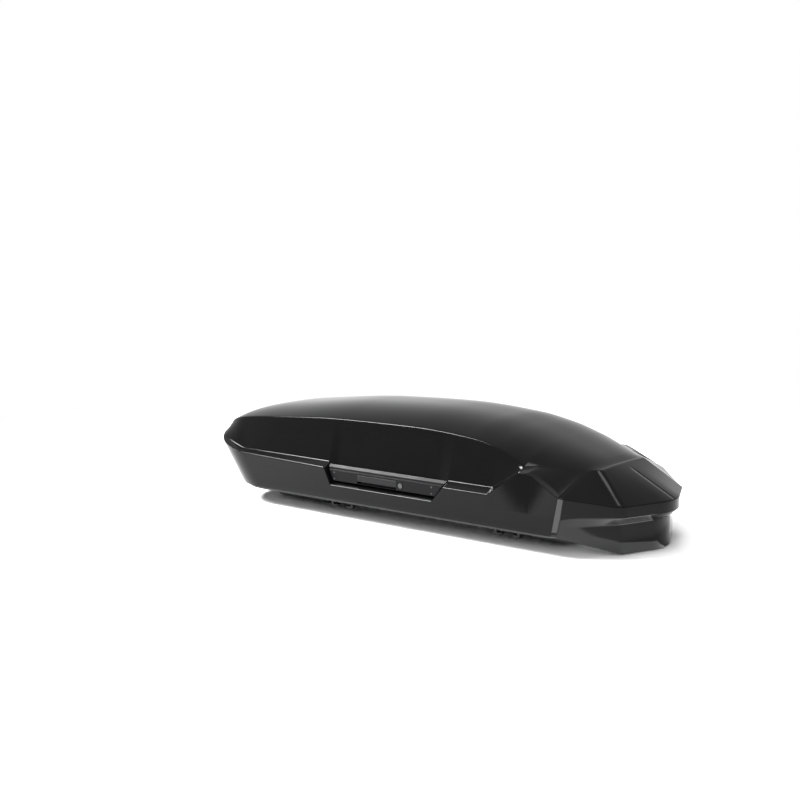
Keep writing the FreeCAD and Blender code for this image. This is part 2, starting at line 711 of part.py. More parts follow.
def arm(name, x, y, z, angle):
    """A flat arm with an eye at each end, from (y, z) along the given angle in the cross plane."""
    bar = doc.addObject("Part::Box", name + "_bar")
    bind(bar, "Length", "arm_thick")
    bind(bar, "Width", "arm_length")
    bind(bar, "Height", "arm_width")
    put(bar, "0", "0", "-arm_width / 2")
    near = rod(name + "_near", "arm_width / 2", "arm_thick", "x", "0", "0", "0")
    far = rod(name + "_far", "arm_width / 2", "arm_thick", "x", "0", "arm_length", "0")
    body = fuse(name + "_body", [bar, near, far])
    holes = fuse(name + "_holes", [
        rod(name + "_near_hole", "arm_pin + run_gap", "arm_thick * 3", "x", "-arm_thick", "0", "0"),
        rod(name + "_far_hole", "arm_pin + run_gap", "arm_thick * 3", "x", "-arm_thick", "arm_length", "0"),
    ])
    link = cut(name, body, holes)
    link.Placement = Placement(Vector(), Rotation(Vector(1, 0, 0), 1))
    bind(link, "Placement.Rotation.Angle", angle)
    put(link, x, y, z)
    return link


lower_arms, upper_arms, knee_pins, base_feet, lid_feet, foot_pins, head_pins = [], [], [], [], [], [], []
for place, x in SUPPORTS:
    lower_arms.append(arm("lower_arm_" + place, x, pivot_y, pivot_z, "180 - arm_angle"))
    upper_arms.append(arm("upper_arm_" + place, x + " + arm_thick + end_gap", top_y, top_z, "180"))
    knee_pins.append(rod("knee_pin_" + place, "arm_pin", "arm_thick * 2 + end_gap * 2 + 3", "x",
                         x + " - end_gap - 1", knee_y, knee_z))
    ears = []
    for side, begin in (("rear", x + " - arm_thick - end_gap"), ("front", x + " + arm_thick + end_gap")):
        ears.append(block("foot_ear_%s_%s" % (place, side), "arm_thick", "foot_half * 2",
                          "hinge_height + foot_half - " + "(" + floor_top + ")", begin,
                          pivot_y + " - foot_half", floor_top))
    ears.append(block("foot_plate_" + place, "arm_thick * 3 + end_gap * 2 + 24", "foot_half * 2", "2",
                      x + " - arm_thick - end_gap - 12", pivot_y + " - foot_half", floor_top))
    foot_pin = rod("foot_pin_" + place, "arm_pin", "arm_thick * 3 + end_gap * 2 + 3", "x",
                   x + " - arm_thick - end_gap - 1.5", pivot_y, pivot_z)
    foot_hole = rod("foot_hole_" + place, "arm_pin", "arm_thick * 9", "x", x + " - arm_thick * 4",
                    pivot_y, pivot_z)
    base_feet.append(cut("foot_" + place, fuse("foot_body_" + place, ears), foot_hole))
    foot_pins.append(foot_pin)
    head_parts = []
    for side, begin in (("rear", x), ("front", x + " + arm_thick * 2 + end_gap * 2")):
        head_parts.append(block("head_ear_%s_%s" % (place, side), "arm_thick", "foot_half * 2", "120", begin,
                                top_y + " - foot_half", top_z + " - foot_half"))
    head_parts.append(block("head_web_" + place, "arm_thick * 3 + end_gap * 2", "foot_half * 2", "100", x,
                            top_y + " - foot_half", top_z + " + foot_half + 2"))
    head_hole = rod("head_hole_" + place, "arm_pin", "arm_thick * 9", "x", x + " - arm_thick * 3", top_y, top_z)
    head_body = common("head_body_" + place, fuse("head_parts_" + place, head_parts),
                       shaped("lid_inside_" + place, lid_inside))
    lid_feet.append(cut("head_" + place, head_body, head_hole))
    head_pins.append(rod("head_pin_" + place, "arm_pin", "arm_thick * 3 + end_gap * 2 + 3", "x",
                         x + " - 1.5", top_y, top_z))
node(group("lower_arm_set", lower_arms), "support_arms_lower")
node(group("upper_arm_set", upper_arms), "support_arms_upper")
node(group("knee_pin_set", knee_pins), "support_knee_pins")
node(group("foot_set", base_feet), "support_brackets_tray")
node(group("head_set", lid_feet), "support_brackets_lid")
node(group("foot_pin_set", foot_pins), "support_pins_tray")
node(group("head_pin_set", head_pins), "support_pins_lid")


# Sketched pieces

def plane_of(body, role):
    return [feature for feature in body.Origin.OriginFeatures if feature.Role == role][0]


def sketch_outline(body, name, role, corners):
    """A closed sketch of straight lines whose corners are bound to the sheet."""
    sketch = body.newObject("Sketcher::SketchObject", name)
    sketch.AttachmentSupport = (plane_of(body, role), "")
    sketch.MapMode = "FlatFace"
    count = len(corners)
    rough = [Vector(math.cos(i * 2 * math.pi / count), math.sin(i * 2 * math.pi / count), 0) * 50
             for i in range(count)]
    for i in range(count):
        sketch.addGeometry(Part.LineSegment(rough[i], rough[(i + 1) % count]), False)
    for i in range(count):
        sketch.addConstraint(Sketcher.Constraint("Coincident", i, 2, (i + 1) % count, 1))
    for i in range(count):
        for kind, axis, number, formula in (("DistanceX", -2, rough[i].x, corners[i][0]),
                                            ("DistanceY", -1, rough[i].y, corners[i][1])):
            if formula == "0":
                sketch.addConstraint(Sketcher.Constraint("PointOnObject", i, 1, axis))
                continue
            index = sketch.addConstraint(Sketcher.Constraint(kind, -1, 1, i, 1, number))
            sketch.setExpression("Constraints[%d]" % index, bound(formula))
    return sketch


def make_jaw(name, mirrored, x, y):
    """A J-shaped jaw: a shoe in the housing, a leg beside the bar and a foot under it."""
    body = doc.addObject("PartDesign::Body", name)
    sign = "" if mirrored else "-1 * "
    near = "(bar_width / 2 + end_gap)"
    far = "(bar_width / 2 + end_gap + jaw_thick)"
    foot_top = "-bar_depth - end_gap"
    profile = [
        (sign + "(" + near + " - jaw_foot)", foot_top),
        (sign + near, foot_top),
        (sign + near, rail_top + " + end_gap"),
        (sign + "(" + near + " - jaw_shoe)", rail_top + " + end_gap"),
        (sign + "(" + near + " - jaw_shoe)", rail_top + " + channel_height - end_gap"),
        (sign + far, rail_top + " + channel_height - end_gap"),
        (sign + far, foot_top + " - jaw_thick"),
        (sign + "(" + near + " - jaw_foot + 4)", foot_top + " - jaw_thick"),
    ]
    sketch = sketch_outline(body, name + "_profile", "XZ_Plane", profile)
    pad = body.newObject("PartDesign::Pad", name + "_pad")
    pad.Profile = sketch
    bind(pad, "Length", "jaw_width")
    put(body, x, y + " + jaw_width / 2", "0")
    return body


def make_knob(name, x, y, z):
    """A turning knob: a revolved cap with a ring of finger scallops and a bore for its spindle."""
    body = doc.addObject("PartDesign::Body", name)
    profile = [
        ("spindle_radius", "0"),
        ("knob_radius - 6", "0"),
        ("knob_radius", "5"),
        ("knob_radius", "knob_height - 7"),
        ("knob_radius - 5", "knob_height"),
        ("0", "knob_height"),
        ("0", "knob_height - 6"),
        ("spindle_radius", "knob_height - 6"),
    ]
    sketch = sketch_outline(body, name + "_profile", "XZ_Plane", profile)
    turned = body.newObject("PartDesign::Revolution", name + "_cap")
    turned.Profile = sketch
    turned.ReferenceAxis = (sketch, ["V_Axis"])
    turned.Angle = 360
    doc.recompute()
    scallop = body.newObject("Sketcher::SketchObject", name + "_scallop")
    scallop.AttachmentSupport = (plane_of(body, "XY_Plane"), "")
    scallop.MapMode = "FlatFace"
    reach = size("knob_radius") + 4
    scallop.addGeometry(Part.Circle(Vector(reach, 0, 0), Vector(0, 0, 1), 9), False)
    scallop.addConstraint(Sketcher.Constraint("Radius", 0, 9))
    scallop.addConstraint(Sketcher.Constraint("PointOnObject", 0, 3, -1))
    index = scallop.addConstraint(Sketcher.Constraint("DistanceX", -1, 1, 0, 3, reach))
    scallop.setExpression("Constraints[%d]" % index, bound("knob_radius + 4"))
    pocket = body.newObject("PartDesign::Pocket", name + "_grip")
    pocket.Profile = scallop
    pocket.Type = "ThroughAll"
    pocket.Reversed = True
    doc.recompute()
    pattern = body.newObject("PartDesign::PolarPattern", name + "_grips")
    pattern.Originals = [pocket]
    pattern.Axis = (scallop, ["N_Axis"])
    pattern.Angle = 360
    pattern.Occurrences = 8
    body.Tip = pattern
    put(body, x, y, z)
    return body


UPRIGHT_EDGES = (1, 3, 5, 7)
housings, fixed_jaws = [], []
for place, x, y in CLAMPS:
    outside = doc.addObject("Part::Fillet", "housing_outside_" + place)
    outside.Base = block("housing_block_" + place, "housing_length", "housing_width", "housing_height",
                         x + " - housing_length / 2", y + " - housing_width / 2", rail_top)
    doc.recompute()
    outside.Edges = [(edge, size("housing_radius"), size("housing_radius")) for edge in UPRIGHT_EDGES]
    channel = block("housing_channel_" + place, "housing_length - 12", "jaw_width + 2 * slot_gap",
                    "channel_height + 1", x + " - housing_length / 2 + 6", y + " - jaw_width / 2 - slot_gap",
                    rail_top + " - 1")
    bore = rod("housing_bore_" + place, "spindle_radius + run_gap", "housing_height * 2", "z", x, y, rail_top)
    housings.append(cut("housing_" + place, outside, fuse("housing_hollow_" + place, [channel, bore])))
    fixed_jaws.append(make_jaw("fixed_jaw_" + place, True, x, y))
    node(make_jaw("moving_jaw_" + place, False, x, y), "clamp_jaw_" + place)
    node(make_knob("knob_" + place, x, y, rail_top + " + housing_height + end_gap"), "clamp_knob_" + place)
    node(rod("spindle_" + place, "spindle_radius", "housing_height + end_gap + knob_height - 6 - 3", "z", x, y,
             rail_top + " + 3"), "clamp_spindle_" + place)
node(group("housing_set", housings), "clamp_housings")
node(group("fixed_jaw_set", fixed_jaws), "clamp_fixed_jaws")

# Lock on the right side, in the recess

plate_face = "-lid_half - lock_thick"
pivot_height = "lock_low + lock_height - pivot_drop"
handle_y = plate_face + " + handle_thick / 2"
plate = doc.addObject("PartDesign::Body", "lock_plate_body")
plate_top = "lock_low + lock_height"
plate_sketch = sketch_outline(plate, "lock_plate_profile", "YZ_Plane", [
    ("-lid_half - seat_gap", "lock_low"),
    (plate_face, "lock_low + 2"),
    (plate_face, plate_top),
    (plate_face + " + step_drop", plate_top + " + 3"),
    (plate_face + " + step_drop", plate_top + " + 10"),
    ("-lid_half - seat_gap", plate_top + " + 18"),
])
plate_pad = plate.newObject("PartDesign::Pad", "lock_plate_pad")
plate_pad.Profile = plate_sketch
bind(plate_pad, "Length", "recess_front - recess_rear + 80")
put(plate, "recess_rear - 40", "0", "0")
fitted = common("lock_plate_fitted", plate, shaped("recess_room", recess_room(size("end_gap"))))
window = block("lock_plate_window", "handle_length + 2 * end_gap", "lock_thick - lock_back", "lock_height - 6",
               "lock_place - handle_length / 2 - end_gap", plate_face, "lock_low + 3")
plate_pin = rod("handle_pin_seat", "handle_pin", "handle_length + 12", "x", "lock_place - handle_length / 2 - 6",
                handle_y, pivot_height)
plate_bore = rod("barrel_bore", "barrel_radius + run_gap", "lock_thick * 2", "y", barrel_place, plate_face,
                 barrel_height)
node(cut("lock_plate_cut", fitted, fuse("lock_plate_hollow", [window, plate_pin, plate_bore])), "lock_plate")
node(rod("handle_pin_rod", "handle_pin", "handle_length + 12", "x", "lock_place - handle_length / 2 - 6",
         handle_y, pivot_height), "handle_pin")

grip = block("handle_grip", "handle_length", "handle_thick * 0.6", "handle_height - handle_thick / 2",
             "lock_place - handle_length / 2", plate_face,
             pivot_height + " - handle_height + handle_thick / 2")
roll = rod("handle_roll", "handle_thick / 2", "handle_length", "x", "lock_place - handle_length / 2", handle_y,
           pivot_height)
handle_hole = rod("handle_hole", "handle_pin + run_gap", "handle_length + 2", "x",
                  "lock_place - handle_length / 2 - 1", handle_y, pivot_height)
node(cut("handle_cut", fuse("handle_body", [grip, roll]), handle_hole), "pull_handle")

barrel = rod("barrel_body", "barrel_radius", "lock_thick + lid_wall + 4", "y", barrel_place, plate_face + " - 2",
             barrel_height)
keyway = block("keyway", "2", "6", "10", barrel_place + " - 1", plate_face + " - 3", barrel_height + " - 5")
node(cut("barrel_cut", barrel, keyway), "key_barrel")

case = block("case_block", "case_length", "case_depth", "lock_height", "lock_place - case_length / 2",
             "-lid_half + lid_wall + end_gap", "lock_low")
passage = block("case_passage", "case_length + 2", "bolt_thick + 2", "bolt_width + 2",
                "lock_place - case_length / 2 - 1", "-bolt_side - 1", "bolt_low - 1")
leg_slot = block("case_leg_slot", "hook_width + bolt_travel + 2", "bolt_thick + 2", "bolt_low - lock_low + 1",
                 "lock_place + striker_radius + 2", "-bolt_side - 1", "lock_low - 1")
node(cut("case_cut", case, fuse("case_hollow", [passage, leg_slot])), "lock_case")

bolt_parts = [block("bolt_bar", "hook_pitch * 2 + 40", "bolt_thick", "bolt_width",
                    "lock_place - hook_pitch - 20", "-bolt_side", "bolt_low")]
strikers = []
wall_face = "-skirt_half + tray_inset + tray_wall"
for place, x in (("rear", "lock_place - hook_pitch"), ("middle", "lock_place"), ("front", "lock_place + hook_pitch")):
    bolt_parts.append(block("hook_leg_" + place, "hook_width", "bolt_thick", "bolt_low - hook_low + 2",
                            x + " + striker_radius + 3", "-bolt_side", "hook_low"))
    bolt_parts.append(block("hook_finger_" + place, "striker_radius * 2 + 4", "bolt_thick", "finger_thick",
                            x + " - striker_radius - 1", "-bolt_side", "hook_low"))
    bracket = block("striker_plate_" + place, "24", "leaf_thick + 1", "striker_height - 18",
                    x + " - 12", wall_face, "striker_height + 6 - (striker_height - 18)")
    pin = rod("striker_pin_" + place, "striker_radius",
              "skirt_half - tray_inset - tray_wall - bolt_side + bolt_thick + 4", "y", x, wall_face,
              "striker_height")
    strikers.append(fuse("striker_" + place, [bracket, pin]))
node(fuse("bolt_body", bolt_parts), "lock_rail")
node(group("striker_set", strikers), "striker_pins")

guides = []
under_lid = shaped("under_lid", under_ledge(size("lid_wall"), size("rim_height")))
for place, x in (("a", "lock_place - 450"), ("b", "lock_place - 290"), ("c", "lock_place + 310"),
                 ("d", "lock_place + 400")):
    body = block("guide_block_" + place, "guide_width", "bolt_thick + 2 * guide_wall + 22",
                 "ledge_height + ledge_rise - bolt_low", x + " - guide_width / 2",
                 "-bolt_side - guide_wall - 22", "bolt_low - guide_wall")
    passage = block("guide_passage_" + place, "guide_width + 2", "bolt_thick + 2 * end_gap",
                    "bolt_width + 2 * end_gap", x + " - guide_width / 2 - 1", "-bolt_side - end_gap",
                    "bolt_low - end_gap")
    guides.append(cut("guide_" + place, common("guide_body_" + place, body, under_lid), passage))
node(group("guide_set", guides), "lock_rail_guides")

# Load straps on the mat, with their anchors and buckles

anchors, buckles = [], []
strap_low = floor_top + " + mat_thick"
strap_end = "(clamp_side - rail_width / 2)"
for place, sign in (("rear", "-"), ("front", "")):
    x = sign + "strap_place"
    for side, y in (("right", "-" + strap_end), ("left", strap_end + " - anchor_depth")):
        anchors.append(block("anchor_%s_%s" % (place, side), "strap_width + 9", "anchor_depth", "mat_thick",
                             x + " - (strap_width + 9) / 2", y, floor_top))
    node(block("strap_" + place, "strap_width", strap_end + " * 2 - 2", "strap_thick", x + " - strap_width / 2",
               "-" + strap_end + " + 1", strap_low), "load_strap_" + place)
    frame = block("buckle_frame_" + place, "strap_width + 11", "34", "9", x + " - (strap_width + 11) / 2", "-30",
                  strap_low + " + strap_thick")
    gap = block("buckle_gap_" + place, "strap_width + 1", "9", "11", x + " - (strap_width + 1) / 2", "-26",
                strap_low + " + strap_thick - 1")
    buckles.append(cut("buckle_" + place, frame, gap))
node(group("anchor_set", anchors), "strap_anchors")
node(group("buckle_set", buckles), "strap_buckles")

# Rivets that hold the hinges to the lid

rivets = []
for place, x in HINGES:
    for number, step in enumerate(("- 32", "+ 32")):
        rivets.append(rod("rivet_%s_%d" % (place, number), "rivet_radius", "rivet_height", "y", x + " " + step,
                          "skirt_half", "hinge_height + 24"))
node(group("rivet_set", rivets), "hinge_rivets")

# Check every object, then write each piece

doc.recompute()
for piece in doc.Objects:
    if "Invalid" in piece.State or "Error" in piece.State:
        raise RuntimeError("%s did not build" % piece.Name)
for piece in finished:
    if piece.Shape.isNull() or not piece.Shape.isValid() or not piece.Shape.Solids:
        raise RuntimeError("%s has no sound solid" % piece.Label)

os.makedirs("parts", exist_ok=True)
for piece in finished:
    piece.Shape.exportStep("parts/" + piece.Label + ".step")
print("%d nodes" % len(finished))
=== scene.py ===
"""Looks of the roof box: a glossy black lid on a grained tray, with its lock, hinges, supports and clamps."""
import math

import bmesh
import bpy
import numpy as np
from mathutils import Matrix, Vector


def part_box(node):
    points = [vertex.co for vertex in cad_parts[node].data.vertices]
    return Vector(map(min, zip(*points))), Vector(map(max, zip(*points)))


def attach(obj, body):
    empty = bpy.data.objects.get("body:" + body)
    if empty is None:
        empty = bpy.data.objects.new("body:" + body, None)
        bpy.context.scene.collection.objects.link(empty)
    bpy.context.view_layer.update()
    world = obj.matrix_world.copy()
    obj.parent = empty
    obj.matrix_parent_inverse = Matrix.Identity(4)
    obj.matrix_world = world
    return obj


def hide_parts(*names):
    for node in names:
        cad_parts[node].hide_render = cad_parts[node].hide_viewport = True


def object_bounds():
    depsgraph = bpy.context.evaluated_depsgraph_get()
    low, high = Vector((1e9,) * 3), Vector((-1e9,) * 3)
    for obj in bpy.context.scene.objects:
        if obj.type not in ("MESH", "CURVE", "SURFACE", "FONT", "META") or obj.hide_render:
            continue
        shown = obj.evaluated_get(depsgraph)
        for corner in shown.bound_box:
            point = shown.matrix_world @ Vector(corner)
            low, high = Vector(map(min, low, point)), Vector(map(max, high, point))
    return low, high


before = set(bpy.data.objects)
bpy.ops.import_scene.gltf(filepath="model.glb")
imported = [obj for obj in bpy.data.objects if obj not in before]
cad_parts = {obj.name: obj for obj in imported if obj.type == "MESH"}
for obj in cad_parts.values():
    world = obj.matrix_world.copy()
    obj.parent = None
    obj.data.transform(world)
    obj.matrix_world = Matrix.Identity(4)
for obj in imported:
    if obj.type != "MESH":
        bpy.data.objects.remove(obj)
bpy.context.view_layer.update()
mm = 0.001

# Base tray and keel pans: black ABS sheet, vacuum formed over a mould, so the outside keeps the fine
# leather grain that was rolled into the sheet. The pans are pressed from the same sheet and welded on.


def grained(name, colour, roughness, cell, depth, metallic=0.0, pull=(1, 1, 1)):
    """A finish whose grain is pressed in, with a slow change of tone and of gloss over the piece."""
    made = bpy.data.materials.new(name)
    made.use_nodes = True
    tree = made.node_tree
    shader = tree.nodes["Principled BSDF"]
    shader.inputs["Specular IOR Level"].default_value = 0.5 if metallic else 0.3
    shader.inputs["Metallic"].default_value = metallic
    place = tree.nodes.new("ShaderNodeTexCoord")
    stretch = tree.nodes.new("ShaderNodeMapping")
    stretch.inputs["Scale"].default_value = pull
    tree.links.new(place.outputs["Object"], stretch.inputs["Vector"])
    cells = tree.nodes.new("ShaderNodeTexVoronoi")
    cells.feature = "SMOOTH_F1"
    cells.inputs["Scale"].default_value = cell
    cells.inputs["Smoothness"].default_value = 0.6
    tree.links.new(stretch.outputs["Vector"], cells.inputs["Vector"])
    cloud = tree.nodes.new("ShaderNodeTexNoise")
    cloud.inputs["Scale"].default_value = 14
    cloud.inputs["Detail"].default_value = 5
    tree.links.new(place.outputs["Object"], cloud.inputs["Vector"])
    tone = tree.nodes.new("ShaderNodeMix")
    tone.data_type = "RGBA"
    tone.inputs[6].default_value = (*(part * 0.8 for part in colour), 1)
    tone.inputs[7].default_value = (*(min(part * 1.25, 1) for part in colour), 1)
    tree.links.new(cloud.outputs["Fac"], tone.inputs[0])
    tree.links.new(tone.outputs[2], shader.inputs["Base Color"])
    gloss = tree.nodes.new("ShaderNodeMapRange")
    gloss.inputs["From Min"].default_value = 0.3
    gloss.inputs["From Max"].default_value = 0.7
    gloss.inputs["To Min"].default_value = roughness * 0.85
    gloss.inputs["To Max"].default_value = min(roughness * 1.15, 1)
    tree.links.new(cloud.outputs["Fac"], gloss.inputs["Value"])
    tree.links.new(gloss.outputs["Result"], shader.inputs["Roughness"])
    grain = tree.nodes.new("ShaderNodeBump")
    grain.inputs["Strength"].default_value = depth
    grain.inputs["Distance"].default_value = 0.0006
    tree.links.new(cells.outputs["Distance"], grain.inputs["Height"])
    tree.links.new(grain.outputs["Normal"], shader.inputs["Normal"])
    return made


def dress(made, *names):
    """Gives CAD nodes a finish."""
    for name in names:
        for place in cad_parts[name].material_slots:
            place.material = made


tray_sheet = grained("tray_grain", (0.020, 0.020, 0.021), roughness=0.55, cell=900, depth=0.5)
dress(tray_sheet, "base_tray", "keel_pans")

# Floor rails: two steel hats, folded from 2 mm sheet and powder coated, riveted to the tray's floor.
# They carry the four clamps and spread their load.

powder = grained("powder_coat", (0.030, 0.030, 0.032), roughness=0.45, cell=1600, depth=0.35)
dress(powder, "floor_rails")


def head_tree(name, crossed):
    """A tree that sets a domed head on every point of its mesh, turned to the point's own direction."""
    tree = bpy.data.node_groups.new(name, "GeometryNodeTree")
    face = tree.interface
    face.new_socket("Points", in_out="INPUT", socket_type="NodeSocketGeometry")
    radius = face.new_socket("Head Radius", in_out="INPUT", socket_type="NodeSocketFloat")
    height = face.new_socket("Head Height", in_out="INPUT", socket_type="NodeSocketFloat")
    finish = face.new_socket("Finish", in_out="INPUT", socket_type="NodeSocketMaterial")
    face.new_socket("Heads", in_out="OUTPUT", socket_type="NodeSocketGeometry")
    given = tree.nodes.new("NodeGroupInput")
    result = tree.nodes.new("NodeGroupOutput")
    dome = tree.nodes.new("GeometryNodeMeshUVSphere")
    dome.inputs["Segments"].default_value = 24
    dome.inputs["Rings"].default_value = 12
    tree.links.new(given.outputs["Head Radius"], dome.inputs["Radius"])
    flatten = tree.nodes.new("ShaderNodeMath")
    flatten.operation = "DIVIDE"
    tree.links.new(given.outputs["Head Height"], flatten.inputs[0])
    tree.links.new(given.outputs["Head Radius"], flatten.inputs[1])
    squeeze = tree.nodes.new("ShaderNodeCombineXYZ")
    squeeze.inputs["X"].default_value = 1
    squeeze.inputs["Y"].default_value = 1
    tree.links.new(flatten.outputs[0], squeeze.inputs["Z"])
    flat = tree.nodes.new("GeometryNodeTransform")
    tree.links.new(dome.outputs["Mesh"], flat.inputs["Geometry"])
    tree.links.new(squeeze.outputs["Vector"], flat.inputs["Scale"])
    head = flat.outputs["Geometry"]
    if crossed:
        slot_long, slot_wide, slot_deep = 1.1, 0.26, 0.5
        recess = tree.nodes.new("GeometryNodeMeshBoolean")
        recess.operation = "DIFFERENCE"
        tree.links.new(head, recess.inputs["Mesh 1"])
        lift = tree.nodes.new("ShaderNodeCombineXYZ")
        tree.links.new(given.outputs["Head Height"], lift.inputs["Z"])
        for along, across in ((slot_long, slot_wide), (slot_wide, slot_long)):
            slot_size = tree.nodes.new("ShaderNodeVectorMath")
            slot_size.operation = "SCALE"
            slot_size.inputs[0].default_value = (along, across, slot_deep)
            tree.links.new(given.outputs["Head Radius"], slot_size.inputs["Scale"])
            cutter = tree.nodes.new("GeometryNodeMeshCube")
            tree.links.new(slot_size.outputs["Vector"], cutter.inputs["Size"])
            raised = tree.nodes.new("GeometryNodeTransform")
            tree.links.new(cutter.outputs["Mesh"], raised.inputs["Geometry"])
            tree.links.new(lift.outputs["Vector"], raised.inputs["Translation"])
            tree.links.new(raised.outputs["Geometry"], recess.inputs["Mesh 2"])
        head = recess.outputs["Mesh"]
    way = tree.nodes.new("GeometryNodeInputNamedAttribute")
    way.data_type = "FLOAT_VECTOR"
    way.inputs["Name"].default_value = "way"
    turn = tree.nodes.new("FunctionNodeAlignRotationToVector")
    turn.axis = "Z"
    tree.links.new(way.outputs["Attribute"], turn.inputs["Vector"])
    spread = tree.nodes.new("GeometryNodeInstanceOnPoints")
    tree.links.new(given.outputs["Points"], spread.inputs["Points"])
    tree.links.new(head, spread.inputs["Instance"])
    tree.links.new(turn.outputs["Rotation"], spread.inputs["Rotation"])
    real = tree.nodes.new("GeometryNodeRealizeInstances")
    tree.links.new(spread.outputs["Instances"], real.inputs["Geometry"])
    coat = tree.nodes.new("GeometryNodeSetMaterial")
    tree.links.new(real.outputs["Geometry"], coat.inputs["Geometry"])
    tree.links.new(given.outputs["Finish"], coat.inputs["Material"])
    tree.links.new(coat.outputs["Geometry"], result.inputs["Heads"])
    return tree, (radius, height, finish)


def settled(holder, body):
    """Turns what an object's tree makes into its plain mesh, and fixes the object to a body."""
    bpy.context.view_layer.update()
    result = bpy.data.meshes.new_from_object(holder.evaluated_get(bpy.context.evaluated_depsgraph_get()))
    holder.modifiers.clear()
    holder.data = result
    for face in result.polygons:
        face.use_smooth = True
    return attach(holder, body)


def heads(name, tree, spots, radius, height, finish, body):
    """One object with a head on every spot, given in millimetres with the direction that it faces."""
    base = bpy.data.meshes.new(name + "_spots")
    base.from_pydata([Vector(spot) * mm for spot, way in spots], [], [])
    ways = base.attributes.new("way", "FLOAT_VECTOR", "POINT")
    for number, (spot, way) in enumerate(spots):
        ways.data[number].vector = way
    holder = bpy.data.objects.new(name, base)
    bpy.context.collection.objects.link(holder)
    maker = holder.modifiers.new("heads", "NODES")
    maker.node_group = tree[0]
    for socket, value in zip(tree[1], (radius * mm, height * mm, finish)):
        maker[socket.identifier] = value
    return settled(holder, body)


UPWARD, RIGHTWARD, LEFTWARD = (0, 0, 1), (0, -1, 0), (0, 1, 0)
rivet_head = head_tree("rivet_heads", False)
screw_head = head_tree("screw_heads", True)
zinc = grained("zinc_plate", (0.36, 0.37, 0.38), roughness=0.38, cell=500, depth=0.05, metallic=1.0,
               pull=(1, 20, 20))
RAIL_SIDE = 205
RAIL_TOP = round(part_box("floor_rails")[1].z / mm)
rail_spots = [((x, side * (RAIL_SIDE + step), RAIL_TOP), UPWARD) for x in (-250, -120, 0, 120, 250)
              for side in (1, -1) for step in (-28, 28)]
heads("rail_rivets", rivet_head, rail_spots, radius=3.2, height=1.2, finish=zinc, body="tray")

# Pads: four ribbed rubber strips, glued under the floor where the box rests. Their ribs run along the box. A
# wave texture repeats every 0.314 m at a scale of 1, which gives the scale for a pitch.

WAVE_PERIOD = 0.314


def ribbed(name, colour, pitch):
    """Rubber whose face is moulded with fine ribs that run along X."""
    made = grained(name, colour, roughness=0.8, cell=700, depth=0.25)
    tree = made.node_tree
    place = tree.nodes.new("ShaderNodeTexCoord")
    ribs = tree.nodes.new("ShaderNodeTexWave")
    ribs.bands_direction = "Y"
    ribs.inputs["Scale"].default_value = WAVE_PERIOD / (pitch * mm)
    tree.links.new(place.outputs["Object"], ribs.inputs["Vector"])
    relief = tree.nodes.new("ShaderNodeBump")
    relief.inputs["Strength"].default_value = 0.6
    relief.inputs["Distance"].default_value = 0.0008
    tree.links.new(ribs.outputs["Fac"], relief.inputs["Height"])
    shader = tree.nodes["Principled BSDF"]
    grain = shader.inputs["Normal"].links[0].from_socket
    tree.links.new(grain, relief.inputs["Normal"])
    tree.links.new(relief.outputs["Normal"], shader.inputs["Normal"])
    return made


dress(ribbed("pad_rubber", (0.018, 0.018, 0.018), pitch=3), "bar_pads")

# Rim seal: a round rubber bulb on a flat foot, extruded in one length and set on the rim of the tray. The lid
# closes on the bulb.

SKIRT_HALF = round(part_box("lid_shell")[1].y / mm)
TRAY_INSET = 20
BULB_RADIUS, BULB_CENTRE = 3.8, 46.2
FOOT_WIDTH, FOOT_DEPTH, FOOT_DROP = 6.2, 10, 6.8


def arc_points(corner, before, after, radius, count):
    """Points of one rounded corner of a plan."""
    back = (before - corner).normalized()
    ahead = (after - corner).normalized()
    half = math.acos(max(min(back.dot(ahead), 1), -1)) / 2
    centre = corner + (back + ahead).normalized() * (radius / math.sin(half))
    start = corner + back * (radius / math.tan(half)) - centre
    end = corner + ahead * (radius / math.tan(half)) - centre
    turn = math.pi - 2 * half
    points = []
    for k in range(count + 1):
        part = start * math.sin(turn * (1 - k / count)) + end * math.sin(turn * k / count)
        points.append(centre + part / math.sin(turn))
    return points


def tray_rim(inset):
    """Points of a line round the rim, set in from the tray's outer face, which is itself inside the skirt."""
    inset += TRAY_INSET
    right_side = [(-848, -SKIRT_HALF, 200), (592, -SKIRT_HALF, 150), (717, -160, 60)]
    nose = (788, 0, 150)
    corners = [*right_side, nose, *((x, -y, radius) for x, y, radius in reversed(right_side))]
    spots = [Vector(corner[:2]) for corner in corners]
    moved = []
    for number, spot in enumerate(spots):
        first = (spot - spots[number - 1]).normalized()
        second = (spots[(number + 1) % len(spots)] - spot).normalized()
        half_turn = first.angle(second) / 2
        moved.append(spot + (second - first).normalized() * (inset / math.cos(half_turn)))
    line = []
    for number, spot in enumerate(moved):
        radius = corners[number][2] - inset
        line += arc_points(spot, moved[number - 1], moved[(number + 1) % len(moved)], radius, count=12)
    return line


